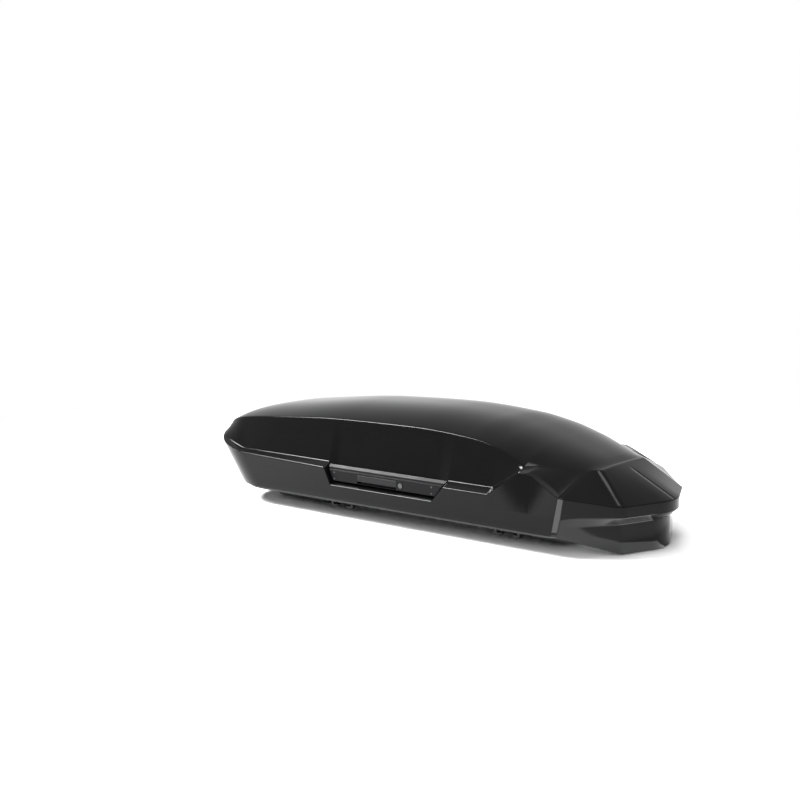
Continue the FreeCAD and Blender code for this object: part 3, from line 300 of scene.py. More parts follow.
def sweep_tree(name):
    """A tree that draws a round bulb and a flat foot along its edges."""
    tree = bpy.data.node_groups.new(name, "GeometryNodeTree")
    face = tree.interface
    face.new_socket("Path", in_out="INPUT", socket_type="NodeSocketGeometry")
    bulb = face.new_socket("Bulb Radius", in_out="INPUT", socket_type="NodeSocketFloat")
    width = face.new_socket("Foot Width", in_out="INPUT", socket_type="NodeSocketFloat")
    depth = face.new_socket("Foot Depth", in_out="INPUT", socket_type="NodeSocketFloat")
    finish = face.new_socket("Finish", in_out="INPUT", socket_type="NodeSocketMaterial")
    face.new_socket("Seal", in_out="OUTPUT", socket_type="NodeSocketGeometry")
    given = tree.nodes.new("NodeGroupInput")
    result = tree.nodes.new("NodeGroupOutput")
    path = tree.nodes.new("GeometryNodeMeshToCurve")
    tree.links.new(given.outputs["Path"], path.inputs["Mesh"])
    level = tree.nodes.new("GeometryNodeSetCurveNormal")
    level.mode = "Z_UP"
    tree.links.new(path.outputs["Curve"], level.inputs["Curve"])
    ring = tree.nodes.new("GeometryNodeCurvePrimitiveCircle")
    ring.inputs["Resolution"].default_value = 16
    tree.links.new(given.outputs["Bulb Radius"], ring.inputs["Radius"])
    bar = tree.nodes.new("GeometryNodeCurvePrimitiveQuadrilateral")
    tree.links.new(given.outputs["Foot Depth"], bar.inputs["Height"])
    tree.links.new(given.outputs["Foot Width"], bar.inputs["Width"])
    drawn = []
    for shape in (ring, bar):
        tube = tree.nodes.new("GeometryNodeCurveToMesh")
        tree.links.new(level.outputs["Curve"], tube.inputs["Curve"])
        tree.links.new(shape.outputs["Curve"], tube.inputs["Profile Curve"])
        drawn.append(tube.outputs["Mesh"])
    lower = tree.nodes.new("GeometryNodeTransform")
    lower.inputs["Translation"].default_value = (0, 0, -FOOT_DROP * mm)
    tree.links.new(drawn[1], lower.inputs["Geometry"])
    both = tree.nodes.new("GeometryNodeJoinGeometry")
    tree.links.new(drawn[0], both.inputs["Geometry"])
    tree.links.new(lower.outputs["Geometry"], both.inputs["Geometry"])
    real = tree.nodes.new("GeometryNodeRealizeInstances")
    tree.links.new(both.outputs["Geometry"], real.inputs["Geometry"])
    coat = tree.nodes.new("GeometryNodeSetMaterial")
    tree.links.new(real.outputs["Geometry"], coat.inputs["Geometry"])
    tree.links.new(given.outputs["Finish"], coat.inputs["Material"])
    tree.links.new(coat.outputs["Geometry"], result.inputs["Seal"])
    return tree, (bulb, width, depth, finish)


seal_path = bpy.data.meshes.new("seal_path")
rim_line = tray_rim(inset=1)
seal_path.from_pydata([(spot.x * mm, spot.y * mm, BULB_CENTRE * mm) for spot in rim_line],
                      [(k, (k + 1) % len(rim_line)) for k in range(len(rim_line))], [])
seal_rubber = grained("seal_rubber", (0.016, 0.016, 0.016), roughness=0.6, cell=900, depth=0.2)
rim_seal = bpy.data.objects.new("rim_seal_bulb", seal_path)
bpy.context.collection.objects.link(rim_seal)
seal_tree = sweep_tree("rim_seal")
drawn = rim_seal.modifiers.new("drawn", "NODES")
drawn.node_group = seal_tree[0]
for socket, size in zip(seal_tree[1], (BULB_RADIUS, FOOT_WIDTH, FOOT_DEPTH)):
    drawn[socket.identifier] = size * mm
drawn[seal_tree[1][-1].identifier] = seal_rubber
settled(rim_seal, "tray")
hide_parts("rim_seal")

# Floor mat: needle felt, about 3 mm thick, cut with round corners. It lies flat on the tray's floor, between
# the two rails.


def raise_threads(tree, tone, height, colour, shade_and_highlight, strength, depth):
    """Paints shade into a cloth's hollows and a highlight onto its tops by its tone, and gives it relief by
    its height.
    """
    shader = tree.nodes["Principled BSDF"]
    shade = tree.nodes.new("ShaderNodeMix")
    shade.data_type = "RGBA"
    # The first colour is painted shade for the hollows, the second a painted highlight for the tops.
    for socket, share in zip((6, 7), shade_and_highlight):
        shade.inputs[socket].default_value = (*(part * share for part in colour), 1)
    tree.links.new(tone, shade.inputs[0])
    tree.links.new(shade.outputs[2], shader.inputs["Base Color"])
    relief = tree.nodes.new("ShaderNodeBump")
    relief.inputs["Strength"].default_value = strength
    relief.inputs["Distance"].default_value = depth
    tree.links.new(height, relief.inputs["Height"])
    tree.links.new(relief.outputs["Normal"], shader.inputs["Normal"])


def felted(name, colour):
    """Felt: short fibres that lie every way, with painted shade in the hollows between them and a painted
    highlight on their tops.
    """
    made = bpy.data.materials.new(name)
    made.use_nodes = True
    tree = made.node_tree
    shader = tree.nodes["Principled BSDF"]
    shader.inputs["Roughness"].default_value = 0.95
    shader.inputs["Sheen Weight"].default_value = 0.08
    shader.inputs["Sheen Roughness"].default_value = 0.6
    place = tree.nodes.new("ShaderNodeTexCoord")
    heights = []
    for turn in (0, 55, 115):
        lie = tree.nodes.new("ShaderNodeMapping")
        lie.inputs["Rotation"].default_value = (0, 0, math.radians(turn))
        lie.inputs["Scale"].default_value = (1, 7, 1)
        tree.links.new(place.outputs["Object"], lie.inputs["Vector"])
        fibre = tree.nodes.new("ShaderNodeTexNoise")
        fibre.inputs["Scale"].default_value = 260
        fibre.inputs["Detail"].default_value = 3
        fibre.inputs["Distortion"].default_value = 0.6
        tree.links.new(lie.outputs["Vector"], fibre.inputs["Vector"])
        heights.append(fibre.outputs["Fac"])
    pile = heights[0]
    for height in heights[1:]:
        top = tree.nodes.new("ShaderNodeMath")
        top.operation = "MAXIMUM"
        tree.links.new(pile, top.inputs[0])
        tree.links.new(height, top.inputs[1])
        pile = top.outputs[0]
    tone = tree.nodes.new("ShaderNodeMapRange")
    tone.inputs["From Min"].default_value = 0.45
    tone.inputs["From Max"].default_value = 0.75
    tree.links.new(pile, tone.inputs["Value"])
    # Painted shade darkens the felt's hollows to 0.45 of its colour, and a painted highlight lightens its
    # tops to 1.7 of it.
    raise_threads(tree, tone.outputs["Result"], pile, colour, shade_and_highlight=(0.45, 1.7), strength=0.7, depth=0.0006)
    return made


def cloth_strip(name, long, wide, low, thick, rows, lines, lift, centre, finish, corner=0.0):
    """A cloth, long along X and wide along Y, whose underside lies at low and follows lift(u, v)."""
    grid = bmesh.new()
    bmesh.ops.create_grid(grid, x_segments=rows, y_segments=lines, size=0.5)
    for dot in grid.verts:
        u, v = dot.co.x * long, dot.co.y * wide
        over = Vector((max(abs(u) - long / 2 + corner, 0), max(abs(v) - wide / 2 + corner, 0)))
        if corner and over.x > 0 and over.y > 0 and over.length > corner:
            over = over.normalized() * corner
            u = math.copysign(long / 2 - corner + over.x, u)
            v = math.copysign(wide / 2 - corner + over.y, v)
        dot.co = Vector((u + centre[0], v + centre[1], low + thick / 2 + lift(u, v))) * mm
    for face in grid.faces:
        face.smooth = True
    data = bpy.data.meshes.new(name)
    grid.to_mesh(data)
    grid.free()
    piece = bpy.data.objects.new(name, data)
    bpy.context.collection.objects.link(piece)
    data.materials.append(finish)
    body = piece.modifiers.new("thickness", "SOLIDIFY")
    body.thickness = thick * mm
    body.offset = 0
    body.use_even_offset = True
    return piece


mat_felt = felted("needle_felt", (0.022, 0.022, 0.025))
floor_mat = cloth_strip("felt_mat", long=718, wide=310, low=7.1, thick=2.6, rows=90, lines=40,
                        lift=lambda u, v: 0.12 * math.sin(u / 37) * math.sin(v / 29 + 1),
                        centre=(0, 0), finish=mat_felt, corner=14)
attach(floor_mat, "tray")
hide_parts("floor_mat")

# Hinges: stamped zinc-plated leaves with rolled eyes. Each turns on one pin, and its lid leaf is held by two
# domed rivets that show on the skirt.

dress(zinc, "hinge_leaves_tray", "hinge_leaves_lid", "hinge_pins", "handle_pin", "striker_pins")
RIVET_HEIGHT = 44
rivet_spots = [((x + step, SKIRT_HALF, RIVET_HEIGHT), LEFTWARD) for x in (-580, -60, 460)
               for step in (-32, 32)]
hinge_rivets = heads("hinge_rivet_heads", rivet_head, rivet_spots, radius=5, height=2, finish=zinc,
                     body="lid")
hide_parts("hinge_rivets")

# Lid supports, one towards each end: two flat arms, pinned at the knee, between a bracket on the tray and one
# under the lid. They are blanked from 4 mm steel and zinc plated.

brushed = grained("brushed_zinc", (0.50, 0.51, 0.52), roughness=0.38, cell=700, depth=0.08, metallic=1.0,
                  pull=(1, 1, 30))
dress(brushed, "support_arms_lower", "support_arms_upper", "support_brackets_tray", "support_brackets_lid")
dress(zinc, "support_knee_pins", "support_pins_tray", "support_pins_lid")
BRACKET_SIDE, BRACKET_PLATE = 124, 2
BRACKET_TOP = round(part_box("support_brackets_tray")[0].z / mm) + BRACKET_PLATE
bracket_spots = [((place + step, BRACKET_SIDE + across, BRACKET_TOP), UPWARD) for place in (-408, 400)
                 for step in (-11.5, 15.5) for across in (-7, 7)]
heads("bracket_screws", screw_head, bracket_spots, radius=3, height=1.6, finish=zinc, body="tray")

# Clamps: four moulded housings over the floor rails, two on each. In each one a steel spindle draws the
# moving jaw against the fixed one when its knob is turned.

CLAMP_PLACES = ("front_right", "front_left", "rear_right", "rear_left")
moulded = grained("moulded_grain", (0.020, 0.020, 0.021), roughness=0.5, cell=1100, depth=0.4)
knob_grain = grained("knob_grain", (0.050, 0.050, 0.053), roughness=0.5, cell=1000, depth=0.4)
jaw_paint = grained("jaw_paint", (0.035, 0.035, 0.037), roughness=0.4, cell=1400, depth=0.3)
dress(moulded, "clamp_housings")
dress(jaw_paint, "clamp_fixed_jaws", *("clamp_jaw_" + place for place in CLAMP_PLACES))
dress(zinc, *("clamp_spindle_" + place for place in CLAMP_PLACES))
dress(knob_grain, *("clamp_knob_" + place for place in CLAMP_PLACES))
HOUSING_TOP = round(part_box("clamp_housings")[1].z / mm)
housing_spots = [((x + step, side * (RAIL_SIDE + across), HOUSING_TOP), UPWARD) for x in (-350, 350)
                 for side in (1, -1) for step in (-76, 76) for across in (-22, 22)]
heads("housing_screws", screw_head, housing_spots, radius=4, height=1.8, finish=zinc, body="tray")

# Load straps: black polyester webbing, 25 mm wide, fixed in moulded anchors beside the mat and pulled tight
# through a buckle near the middle.


def woven(name, colour, pitch):
    """Webbing: fine ribs across the strap, and a warp that runs along it, with painted shade in the hollows
    of the weave and a painted highlight where its threads cross.
    """
    made = bpy.data.materials.new(name)
    made.use_nodes = True
    tree = made.node_tree
    shader = tree.nodes["Principled BSDF"]
    shader.inputs["Roughness"].default_value = 0.75
    shader.inputs["Sheen Weight"].default_value = 0.08
    place = tree.nodes.new("ShaderNodeTexCoord")
    bands = []
    for way, step in (("Y", pitch), ("X", pitch * 0.8)):
        band = tree.nodes.new("ShaderNodeTexWave")
        band.bands_direction = way
        band.inputs["Scale"].default_value = WAVE_PERIOD / (step * mm)
        band.inputs["Distortion"].default_value = 0.4
        tree.links.new(place.outputs["Object"], band.inputs["Vector"])
        bands.append(band.outputs["Fac"])
    crossing = tree.nodes.new("ShaderNodeMath")
    crossing.operation = "MULTIPLY"
    tree.links.new(bands[0], crossing.inputs[0])
    tree.links.new(bands[1], crossing.inputs[1])
    weave = crossing.outputs[0]
    # Painted shade darkens the weave's hollows to 0.4 of its colour, and a painted highlight lightens its
    # crossings to 1.8 of it.
    raise_threads(tree, weave, weave, colour, shade_and_highlight=(0.4, 1.8), strength=0.8, depth=0.0005)
    return made


webbing = woven("strap_weave", (0.009, 0.009, 0.010), pitch=1.6)
dress(moulded, "strap_anchors", "strap_buckles")
for end, x in (("front", 120), ("rear", -120)):
    strap = cloth_strip("strap_" + end, long=25, wide=334, low=10.05, thick=1.5, rows=6, lines=90,
                        lift=lambda u, v: 0.1 * math.sin(v / 21), centre=(x, 0), finish=webbing)
    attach(strap, "tray")
    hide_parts("load_strap_" + end)

# Lid: one sheet of glossy black ABS, vacuum formed. A hood with a long crease stands on a proud skirt that
# steps down at the handle recess, climbs over a hump and runs round the nose as a lip with an undercut.

# Place along the lid, half width and height of the crease.
CREASE = ((-932, 133, 183), (-916, 178, 207), (-875, 222, 228), (-800, 248, 246), (-620, 256, 264),
          (-310, 254, 282), (0, 254, 285), (238, 259, 273), (348, 267, 253), (458, 280, 211),
          (498, 252, 207), (549, 217, 202), (608, 167, 197), (640, 140, 197))
# Place along the lid, and height of the roof's middle.
CROWN = ((-932, 195), (-916, 225), (-875, 251), (-800, 274), (-620, 299), (-310, 328), (0, 337), (238, 322),
         (348, 300), (458, 268), (498, 255), (549, 238), (608, 217), (640, 202))
# Place along the lid, and half width at the foot of the hood's side.
HOOD_FOOT = ((-932, 190), (-916, 231), (-875, 268), (-800, 287), (-620, 295), (498, 293), (549, 294),
             (590, 301), (608, 319))
# Place along the lid, height of the skirt's ledge, and its rise to the foot of the hood.
LEDGE = ((-970, 190, 7), (-766, 134, 7), (-334, 122, 17), (-306, 64, 11), (131, 64, 11), (175, 115, 17),
         (348, 115, 17), (458, 196, 5), (492, 196, 5), (608, 137, 0), (737, 106, 0), (858, 106, 0))
# Place along the lid, and how far the ledge stands in from the skirt at the hump.
HUMP_LEAN = ((348, 0), (458, 12), (498, 13), (600, 0))
# Turn round the tail's corner in degrees, and where its column stands on the crease.
TAIL_TURNS = ((19, -932), (33, -916), (49, -875), (73, -800), (90, -750))
# Radius of the tail's corner, how far its rim stands in under its widest place, and half its straight back.
TAIL_RADIUS, TAIL_RAKE, TAIL_FLAT = 200, 100, 190.1
CREASE_START, TAIL_START = -932, -750
NOSE_START, CREASE_END = 608, 640
RIM_HEIGHT, CHIN_HEIGHT = 15, -48
CHIN_START, CHIN_END = 592, 738
UNDERCUT, LIP_FOOT = 45, 71
TAIL_UNDERCUT, TAIL_LIP_FOOT, WIDEST = 60, 122, 150
CHIN_INSET, CORNER_LEAN = 30, 24
LIP_WIDTH, LIP_RISE = 4, 2.5
# The row of CREASE where it turns in, and the last column of the nose that still stands on the crease.
SHARP_ROW, SHOULDER = 9, 22
ROOF_INSET, ROOF_POWER = 6, 2.8
WALL = 4
ROOF_ROWS, PANEL_ROWS = 15, 6
ROOF_SHARES = [1 - (row / ROOF_ROWS) ** 1.5 for row in range(ROOF_ROWS + 1)]


def flowing(table, column, place):
    """A curve through the table's points that doesn't overshoot between them."""
    at = np.array([row[0] for row in table], float)
    value = np.array([row[column] for row in table], float)
    step = np.diff(at)
    slope = np.diff(value) / step
    lean = np.concatenate(([slope[0]], np.zeros(len(at) - 2), [slope[-1]]))
    for i in range(1, len(at) - 1):
        if slope[i - 1] * slope[i] > 0:
            first = 2 * step[i] + step[i - 1]
            second = step[i] + 2 * step[i - 1]
            lean[i] = (first + second) / (first / slope[i - 1] + second / slope[i])
    i = int(np.clip(np.searchsorted(at, place) - 1, 0, len(step) - 1))
    t = min(max((place - at[i]) / step[i], 0), 1)
    rising = 3 * t ** 2 - 2 * t ** 3
    return float(value[i] + (value[i + 1] - value[i]) * rising
                 + step[i] * (lean[i] * (t ** 3 - 2 * t ** 2 + t) + lean[i + 1] * (t ** 3 - t ** 2)))


def straight(table, column, place, ease=3.0):
    """Straight between the table's points, with each corner eased over a few millimetres."""
    at = [row[0] for row in table]
    value = [row[column] for row in table]
    return sum(float(np.interp(place + ease * share, at, value)) for share in (-1, -0.5, 0, 0.5, 1)) / 5


def crease_at(x):
    """Half width and height of the crease: it flows over the hood, and turns sharply in at the hump."""
    if x <= CREASE[SHARP_ROW][0]:
        table, read = CREASE[:SHARP_ROW + 1], flowing
    else:
        table, read = CREASE[SHARP_ROW:], straight
    return read(table, 1, x), read(table, 2, x)


def rim_at(x):
    """The lid's lower edge: level, and dropping to the chin ahead of the front corner."""
    return float(np.interp(x, (CHIN_START, CHIN_END), (RIM_HEIGHT, CHIN_HEIGHT)))


def roof_at(x, y):
    """Height of the roof, which is nearly flat in the middle and falls to the crease at its sides."""
    half, low = crease_at(x)
    crown = flowing(CROWN, 1, x)
    return crown - (crown - low) * min(abs(y) / half, 1) ** ROOF_POWER


def share_of(place, start, end):
    """How far a place has come from start to end, from 0 to 1."""
    return min(max((place - start) / (end - start), 0), 1)


def nose_plan(inset, lean):
    """Plan from the front corner to the middle of the nose: bevel, long side, shoulder and half the cap."""
    rear = Vector((606 - lean, SKIRT_HALF))
    front = Vector((622 - lean, 317.5))
    tip = Vector((757 - inset * 0.8, 190 - inset * 0.6))
    nose = Vector((838 - inset, 0))
    shoulder = arc_points(tip, front, nose, radius=60, count=6)
    cap = arc_points(nose, tip, Vector((tip.x, -tip.y)), radius=150, count=8)[:5]
    line = [rear.lerp(front, share) for share in (0, 0.1, 0.5, 0.9, 1)]
    line += [front.lerp(shoulder[0], share) for share in (0.012, *(k / 14 for k in range(1, 14)))]
    line += shoulder[:-1]
    line += [shoulder[-1].lerp(cap[0], k / 8) for k in range(8)]
    return line + cap


def eased_corner(before, corner, after, reach, count):
    """A corner of a column, eased into a small curve that takes only part of the run on each side."""
    back = before - corner
    ahead = after - corner
    at_most = 0.4
    start = corner + back * min(reach / max(back.length, 1e-6), at_most)
    end = corner + ahead * min(reach / max(ahead.length, 1e-6), at_most)
    shares = [k / count for k in range(count + 1)]
    return [start.lerp(corner, share).lerp(corner.lerp(end, share), share) for share in shares]


def lid_column(rim, under, lip, ledge, foot, crease, roof, waist):
    """One column of the lid from the rim to the roof's edge, with every edge eased."""
    points = [rim, rim.lerp(under, 0.5)]
    points += eased_corner(rim, under, lip, reach=3, count=2)
    points += eased_corner(under, lip, ledge, reach=waist, count=4)
    points += eased_corner(lip, ledge, foot, reach=3, count=4)
    points += eased_corner(ledge, foot, crease, reach=3, count=4)
    edge = eased_corner(foot, crease, roof, reach=8, count=5)
    edge[-1] = roof
    points += [points[-1].lerp(edge[0], k / PANEL_ROWS) for k in range(1, PANEL_ROWS)]
    return points + edge


def upright(x, y, z):
    """A point of a column, from its place along the lid, across it and upwards."""
    return Vector((x, y, z))


columns, roof_columns = [], []


def add_column(x, *points, waist=3.0):
    """Adds a column whose crease lies at x; its roof runs from there to the middle of the lid."""
    half, low = crease_at(x)
    edge = upright(x, half - ROOF_INSET, roof_at(x, half - ROOF_INSET))
    columns.append(lid_column(*points, upright(x, half, low), edge, waist))
    roof_columns.append([upright(x, edge.y * share, roof_at(x, edge.y * share)) for share in ROOF_SHARES])


def end_roof(x, share):
    """A point of the roof over one end of the crease, that share of its half width out."""
    y = (crease_at(x)[0] - ROOF_INSET) * share
    return upright(x, y, roof_at(x, y))


def tail_points(turn, flat):
    """Rim, undercut, side and ledge of the tail, on its round corner or, where flat is given, on its back."""
    middle = SKIRT_HALF - TAIL_RADIUS
    across = middle + TAIL_RADIUS * math.sin(turn) if flat is None else flat
    turn = math.asin(max(across - middle, 0) / TAIL_RADIUS)
    back = TAIL_START - TAIL_RADIUS * math.cos(turn)
    wide = Vector((back, across))
    rim = Vector((back + TAIL_RAKE, across))
    high = straight(LEDGE, 1, wide.x)
    for step in range(4):
        share = share_of(high, RIM_HEIGHT, WIDEST)
        high = straight(LEDGE, 1, rim.x + (wide.x - rim.x) * share)
    heights = (RIM_HEIGHT, TAIL_UNDERCUT, min(WIDEST, high - 12), high)
    return [upright(*rim.lerp(wide, share_of(z, RIM_HEIGHT, WIDEST)), z) for z in heights]


# The tail: its straight back from the middle outwards, then its round corner.
for share in reversed(ROOF_SHARES[1:]):
    side = tail_points(0, TAIL_FLAT * share)
    ledge = side[-1]
    foot = upright(ledge.x + 9 - 2 * share, ledge.y, ledge.z + 3)
    roof = end_roof(CREASE_START, share)
    crease = upright(CREASE_START - 5, roof.y, roof.z - 0.5)
    columns.append(lid_column(*side, foot, crease, roof, waist=12.0))
for turn in range(19, 91, 4):
    x = flowing(TAIL_TURNS, 1, turn)
    foot = upright(x, flowing(HOOD_FOOT, 1, x), straight(LEDGE, 1, x) + 7)
    add_column(x, *tail_points(math.radians(turn), None), foot, waist=12.0 - 6 * share_of(turn, 19, 87))

# The side: its columns stand closer together round the corners of the ledge.
places = set(np.linspace(TAIL_START, 600, 110))
for row in LEDGE[2:9]:
    places |= {row[0] + step for step in (-8, -5, -2.5, 0, 2.5, 5, 8)}
for x in sorted(places):
    high = straight(LEDGE, 1, x)
    near_tail = share_of(x, TAIL_START + 100, TAIL_START)
    lip = min(LIP_FOOT + (TAIL_LIP_FOOT - LIP_FOOT) * near_tail, high - 10)
    under = min(UNDERCUT + (TAIL_UNDERCUT - UNDERCUT) * near_tail, high - 18)
    rake = TAIL_RAKE * share_of(x, TAIL_START + 300, TAIL_START)
    lean = CORNER_LEAN * share_of(x, 500, NOSE_START)
    shift = rake - lean
    full = WIDEST - RIM_HEIGHT
    add_column(x, upright(x + shift, SKIRT_HALF, rim_at(x + shift)),
               upright(x + rake * (WIDEST - under) / full - lean * 0.75, SKIRT_HALF, under),
               upright(x + rake * (WIDEST - lip) / full - lean * 0.5, SKIRT_HALF, lip),
               upright(x, SKIRT_HALF - straight(HUMP_LEAN, 1, x), high),
               upright(x, flowing(HOOD_FOOT, 1, x), high + straight(LEDGE, 2, x)), waist=4.0)

# The nose, from the front corner to the middle.
lip_plan = nose_plan(inset=0, lean=0)
lip_foot_plan = nose_plan(inset=0, lean=13)
undercut_plan = nose_plan(inset=CHIN_INSET, lean=CORNER_LEAN * 0.75)
rim_plan = nose_plan(inset=CHIN_INSET, lean=CORNER_LEAN)
for i, spot in enumerate(lip_plan):
    after = lip_plan[i + 1] if i + 1 < len(lip_plan) else Vector((spot.x, -1))
    before = lip_plan[i - 1] if i else Vector((600, SKIRT_HALF))
    inward_way = Vector((after.y - before.y, before.x - after.x)).normalized()
    high = straight(LEDGE, 1, spot.x)
    points = (upright(*rim_plan[i], rim_at(rim_plan[i].x)), upright(*undercut_plan[i], UNDERCUT),
              upright(*lip_foot_plan[i], LIP_FOOT), upright(*spot, high),
              upright(*(spot + inward_way * LIP_WIDTH), high + LIP_RISE))
    if i <= SHOULDER:
        add_column(NOSE_START + (CREASE_END - NOSE_START) * i / SHOULDER, *points)
    else:
        roof = end_roof(CREASE_END, ROOF_SHARES[i - SHOULDER])
        columns.append(lid_column(*points, upright(CREASE_END + 8, roof.y, roof.z - 1), roof, waist=3.0))

lid_mesh = bmesh.new()


def lay(grid):
    """Makes a quad between every four neighbours of a grid of points."""
    dots = [[lid_mesh.verts.new(point * mm) for point in line] for line in grid]
    for first, second in zip(dots, dots[1:]):
        for k in range(len(first) - 1):
            lid_mesh.faces.new((first[k], second[k], second[k + 1], first[k + 1]))


for mirrored in (1, -1):
    turned = Vector((1, mirrored, 1))
    lay([[point * turned for point in line] for line in columns])
    lay([[point * turned for point in line] for line in roof_columns])
bmesh.ops.remove_doubles(lid_mesh, verts=lid_mesh.verts, dist=0.00005)
bmesh.ops.dissolve_degenerate(lid_mesh, dist=0.00002, edges=lid_mesh.edges)
bmesh.ops.recalc_face_normals(lid_mesh, faces=lid_mesh.faces)
for face in lid_mesh.faces:
    face.smooth = True
lid_data = bpy.data.meshes.new("lid_skin")
lid_mesh.to_mesh(lid_data)
lid_mesh.free()
lid_skin = bpy.data.objects.new("lid_skin", lid_data)
bpy.context.collection.objects.link(lid_skin)

wall = lid_skin.modifiers.new("wall", "SOLIDIFY")
wall.thickness = WALL * mm
wall.offset = -1
wall.material_offset = 1
even = lid_skin.modifiers.new("even_shine", "WEIGHTED_NORMAL")
even.keep_sharp = False
lid_gloss = grained("lid_gloss", (0.0014, 0.0014, 0.0015), roughness=0.09, cell=60, depth=0.01)
lid_gloss.node_tree.nodes["Principled BSDF"].inputs["Specular IOR Level"].default_value = 0.09
lid_data.materials.append(lid_gloss)
lid_data.materials.append(grained("lid_inside", (0.008, 0.008, 0.0085), roughness=0.6, cell=900, depth=0.3))
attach(lid_skin, "lid")
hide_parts("lid_shell")

# Bows: two ribs, moulded to the hood's inner shape and bonded under the roof to stiffen it.

bow_grain = grained("bow_grain", (0.030, 0.030, 0.032), roughness=0.6, cell=900, depth=0.4)
dress(bow_grain, "lid_bow_rear", "lid_bow_front")

# Side lock: a moulded plate in the recess holds the pull handle and the key barrel. Behind the lid a case
# and four guides carry an aluminium rail whose three hooks close on the tray's strikers.

dress(moulded, "lock_case", "lock_rail_guides")
satin_black = grained("satin_black", (0.004, 0.004, 0.0044), roughness=0.35, cell=900, depth=0.06)
satin_black.node_tree.nodes["Principled BSDF"].inputs["Specular IOR Level"].default_value = 0.06
dress(satin_black, "lock_plate")
handle_grain = grained("handle_grain", (0.006, 0.006, 0.0065), roughness=0.4, cell=1000, depth=0.25)
handle_grain.node_tree.nodes["Principled BSDF"].inputs["Specular IOR Level"].default_value = 0.12
dress(handle_grain, "pull_handle")
drawn_aluminium = grained("drawn_aluminium", (0.62, 0.63, 0.64), roughness=0.35, cell=600, depth=0.05,
                          metallic=1.0, pull=(1, 30, 30))
dress(drawn_aluminium, "lock_rail")
satin_nickel = grained("satin_nickel", (0.07, 0.07, 0.072), roughness=0.35, cell=600, depth=0.05,
                       metallic=1.0)
dress(satin_nickel, "key_barrel")
PLATE_FACE = round(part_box("lock_plate")[0].y / mm)
plate_spots = [((x, PLATE_FACE, z), RIGHTWARD) for x in (-300, 120) for z in (84, 106)]
heads("plate_screws", screw_head, plate_spots, radius=3.2, height=1.2, finish=powder, body="lid")

# Floor and surroundings: a plain pale floor just under the box. It fades into the white round it, so that no
# horizon shows. The white is half as strong where it only lights the box.


def pale(name, shade, near, far):
    """Plain pale paint that turns into the white of the surroundings away from the middle."""
    made = bpy.data.materials.new(name)
    made.use_nodes = True
    tree = made.node_tree
    shader = tree.nodes["Principled BSDF"]
    shader.inputs["Base Color"].default_value = (shade, shade, shade, 1)
    shader.inputs["Roughness"].default_value = 0.9
    place = tree.nodes.new("ShaderNodeTexCoord")
    reach = tree.nodes.new("ShaderNodeVectorMath")
    reach.operation = "LENGTH"
    tree.links.new(place.outputs["Object"], reach.inputs[0])
    share = tree.nodes.new("ShaderNodeMapRange")
    share.interpolation_type = "SMOOTHSTEP"
    share.inputs["From Min"].default_value = near
    share.inputs["From Max"].default_value = far
    tree.links.new(reach.outputs["Value"], share.inputs["Value"])
    white = tree.nodes.new("ShaderNodeEmission")
    white.inputs["Strength"].default_value = 1.0
    both = tree.nodes.new("ShaderNodeMixShader")
    tree.links.new(share.outputs["Result"], both.inputs["Fac"])
    tree.links.new(shader.outputs["BSDF"], both.inputs[1])
    tree.links.new(white.outputs["Emission"], both.inputs[2])
    tree.links.new(both.outputs["Shader"], tree.nodes["Material Output"].inputs["Surface"])
    return made


FLOOR_HALF, FLOOR_GAP = 8, 0.004
floor_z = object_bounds()[0].z - FLOOR_GAP
corners = [(x * FLOOR_HALF, y * FLOOR_HALF, floor_z) for x, y in ((-1, -1), (1, -1), (1, 1), (-1, 1))]
sweep = bpy.data.meshes.new("studio_floor")
sweep.from_pydata(corners, [], [(0, 1, 2, 3)])
studio_floor = bpy.data.objects.new("studio_floor", sweep)
bpy.context.collection.objects.link(studio_floor)
sweep.materials.append(pale("studio_white", shade=0.85, near=1.5, far=3.2))

world = bpy.data.worlds.new("studio")
bpy.context.scene.world = world
world.use_nodes = True
sky = world.node_tree
ambient = sky.nodes["Background"]
ambient.inputs["Color"].default_value = (1, 1, 1, 1)
ray = sky.nodes.new("ShaderNodeLightPath")
seen = sky.nodes.new("ShaderNodeMath")
seen.operation = "MAXIMUM"
sky.links.new(ray.outputs["Is Camera Ray"], seen.inputs[0])
mirrored_ray = sky.nodes.new("ShaderNodeMath")
mirrored_ray.operation = "MAXIMUM"
sky.links.new(ray.outputs["Is Glossy Ray"], mirrored_ray.inputs[0])
sky.links.new(ray.outputs["Is Transmission Ray"], mirrored_ray.inputs[1])
sky.links.new(mirrored_ray.outputs[0], seen.inputs[1])
level = sky.nodes.new("ShaderNodeMapRange")
level.inputs["To Min"].default_value = 0.5
level.inputs["To Max"].default_value = 1.0
sky.links.new(seen.outputs[0], level.inputs["Value"])
sky.links.new(level.outputs["Result"], ambient.inputs["Strength"])

# Lamps: a strong one high over the tail draws the bright lines along the edges, and a soft one lights the
# nose from above. Two low ones shine up at the nose and its corner. Two more fill in without a reflection.


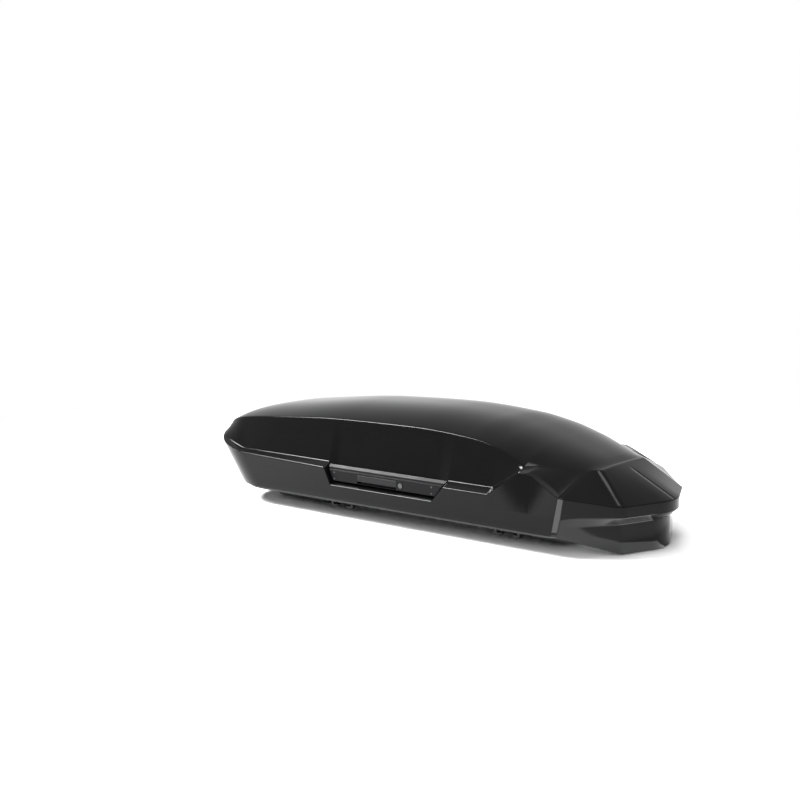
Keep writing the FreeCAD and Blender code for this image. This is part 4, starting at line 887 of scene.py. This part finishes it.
def softbox(name, place, aim, width, height, power):
    """A soft rectangular lamp, turned to look at a point."""
    light = bpy.data.lights.new(name, "AREA")
    light.shape = "RECTANGLE"
    light.size = width
    light.size_y = height
    light.energy = power
    lamp = bpy.data.objects.new(name, light)
    lamp.location = place
    lamp.rotation_euler = (Vector(aim) - Vector(place)).to_track_quat("-Z", "Y").to_euler()
    bpy.context.collection.objects.link(lamp)
    return lamp


for name, spot, way, reach, width, height, power in (
        ("edge_light", (0, -0.3, 0.1), (-0.62, -0.33, 0.71), 5, 2.4, 1.6, 1100),
        ("over_light", (0.72, -0.22, 0.11), (0.10, 0.0, 0.98), 4, 1.8, 1.4, 70)):
    softbox(name, Vector(spot) + Vector(way).normalized() * reach, spot, width, height, power)
for name, x, y, width, height, power in (("nose_kicker", 0.72, -0.2, 0.3, 0.42, 2.2),
                                         ("corner_kicker", 0.68, -0.78, 0.2, 0.6, 6)):
    kicker = softbox(name, (x, y, -0.05), (x, y, 1.0), width, height, power)
    kicker.visible_camera = False
for name, place, width, height, power in (("fill_light", (2.5, -4.0, 2.5), 2.5, 2.0, 120),
                                          ("top_fill", (-0.5, 0.5, 4.0), 3.0, 2.0, 100)):
    fill = softbox(name, place, (0, 0, 0.2), width, height, power)
    fill.visible_glossy = False

# Camera: at the photograph's viewing angle, ahead of the box, on its handle side and above it. Its place, its
# directions and its focal length in pixels are the ones that match the photograph.

FOCAL_PIXELS, PHOTO_WIDTH = 1286.97, 800
stand = Vector((2.6023, -3.5433, 0.9586))
ahead = Vector((-0.62203, 0.77077, -0.13779)).normalized()
right = Vector((0.77875, 0.62729, -0.00663)).normalized()
over = right.cross(ahead)
sight = bpy.data.cameras.new("photo_view")
sight.sensor_width = 36
sight.lens = FOCAL_PIXELS / PHOTO_WIDTH * sight.sensor_width
sight.clip_end = 50
camera = bpy.data.objects.new("photo_view", sight)
camera.matrix_world = Matrix.Translation(stand) @ Matrix((right, over, -ahead)).transposed().to_4x4()
bpy.context.collection.objects.link(camera)
bpy.context.scene.camera = camera
bpy.context.scene.view_settings.view_transform = "Standard"
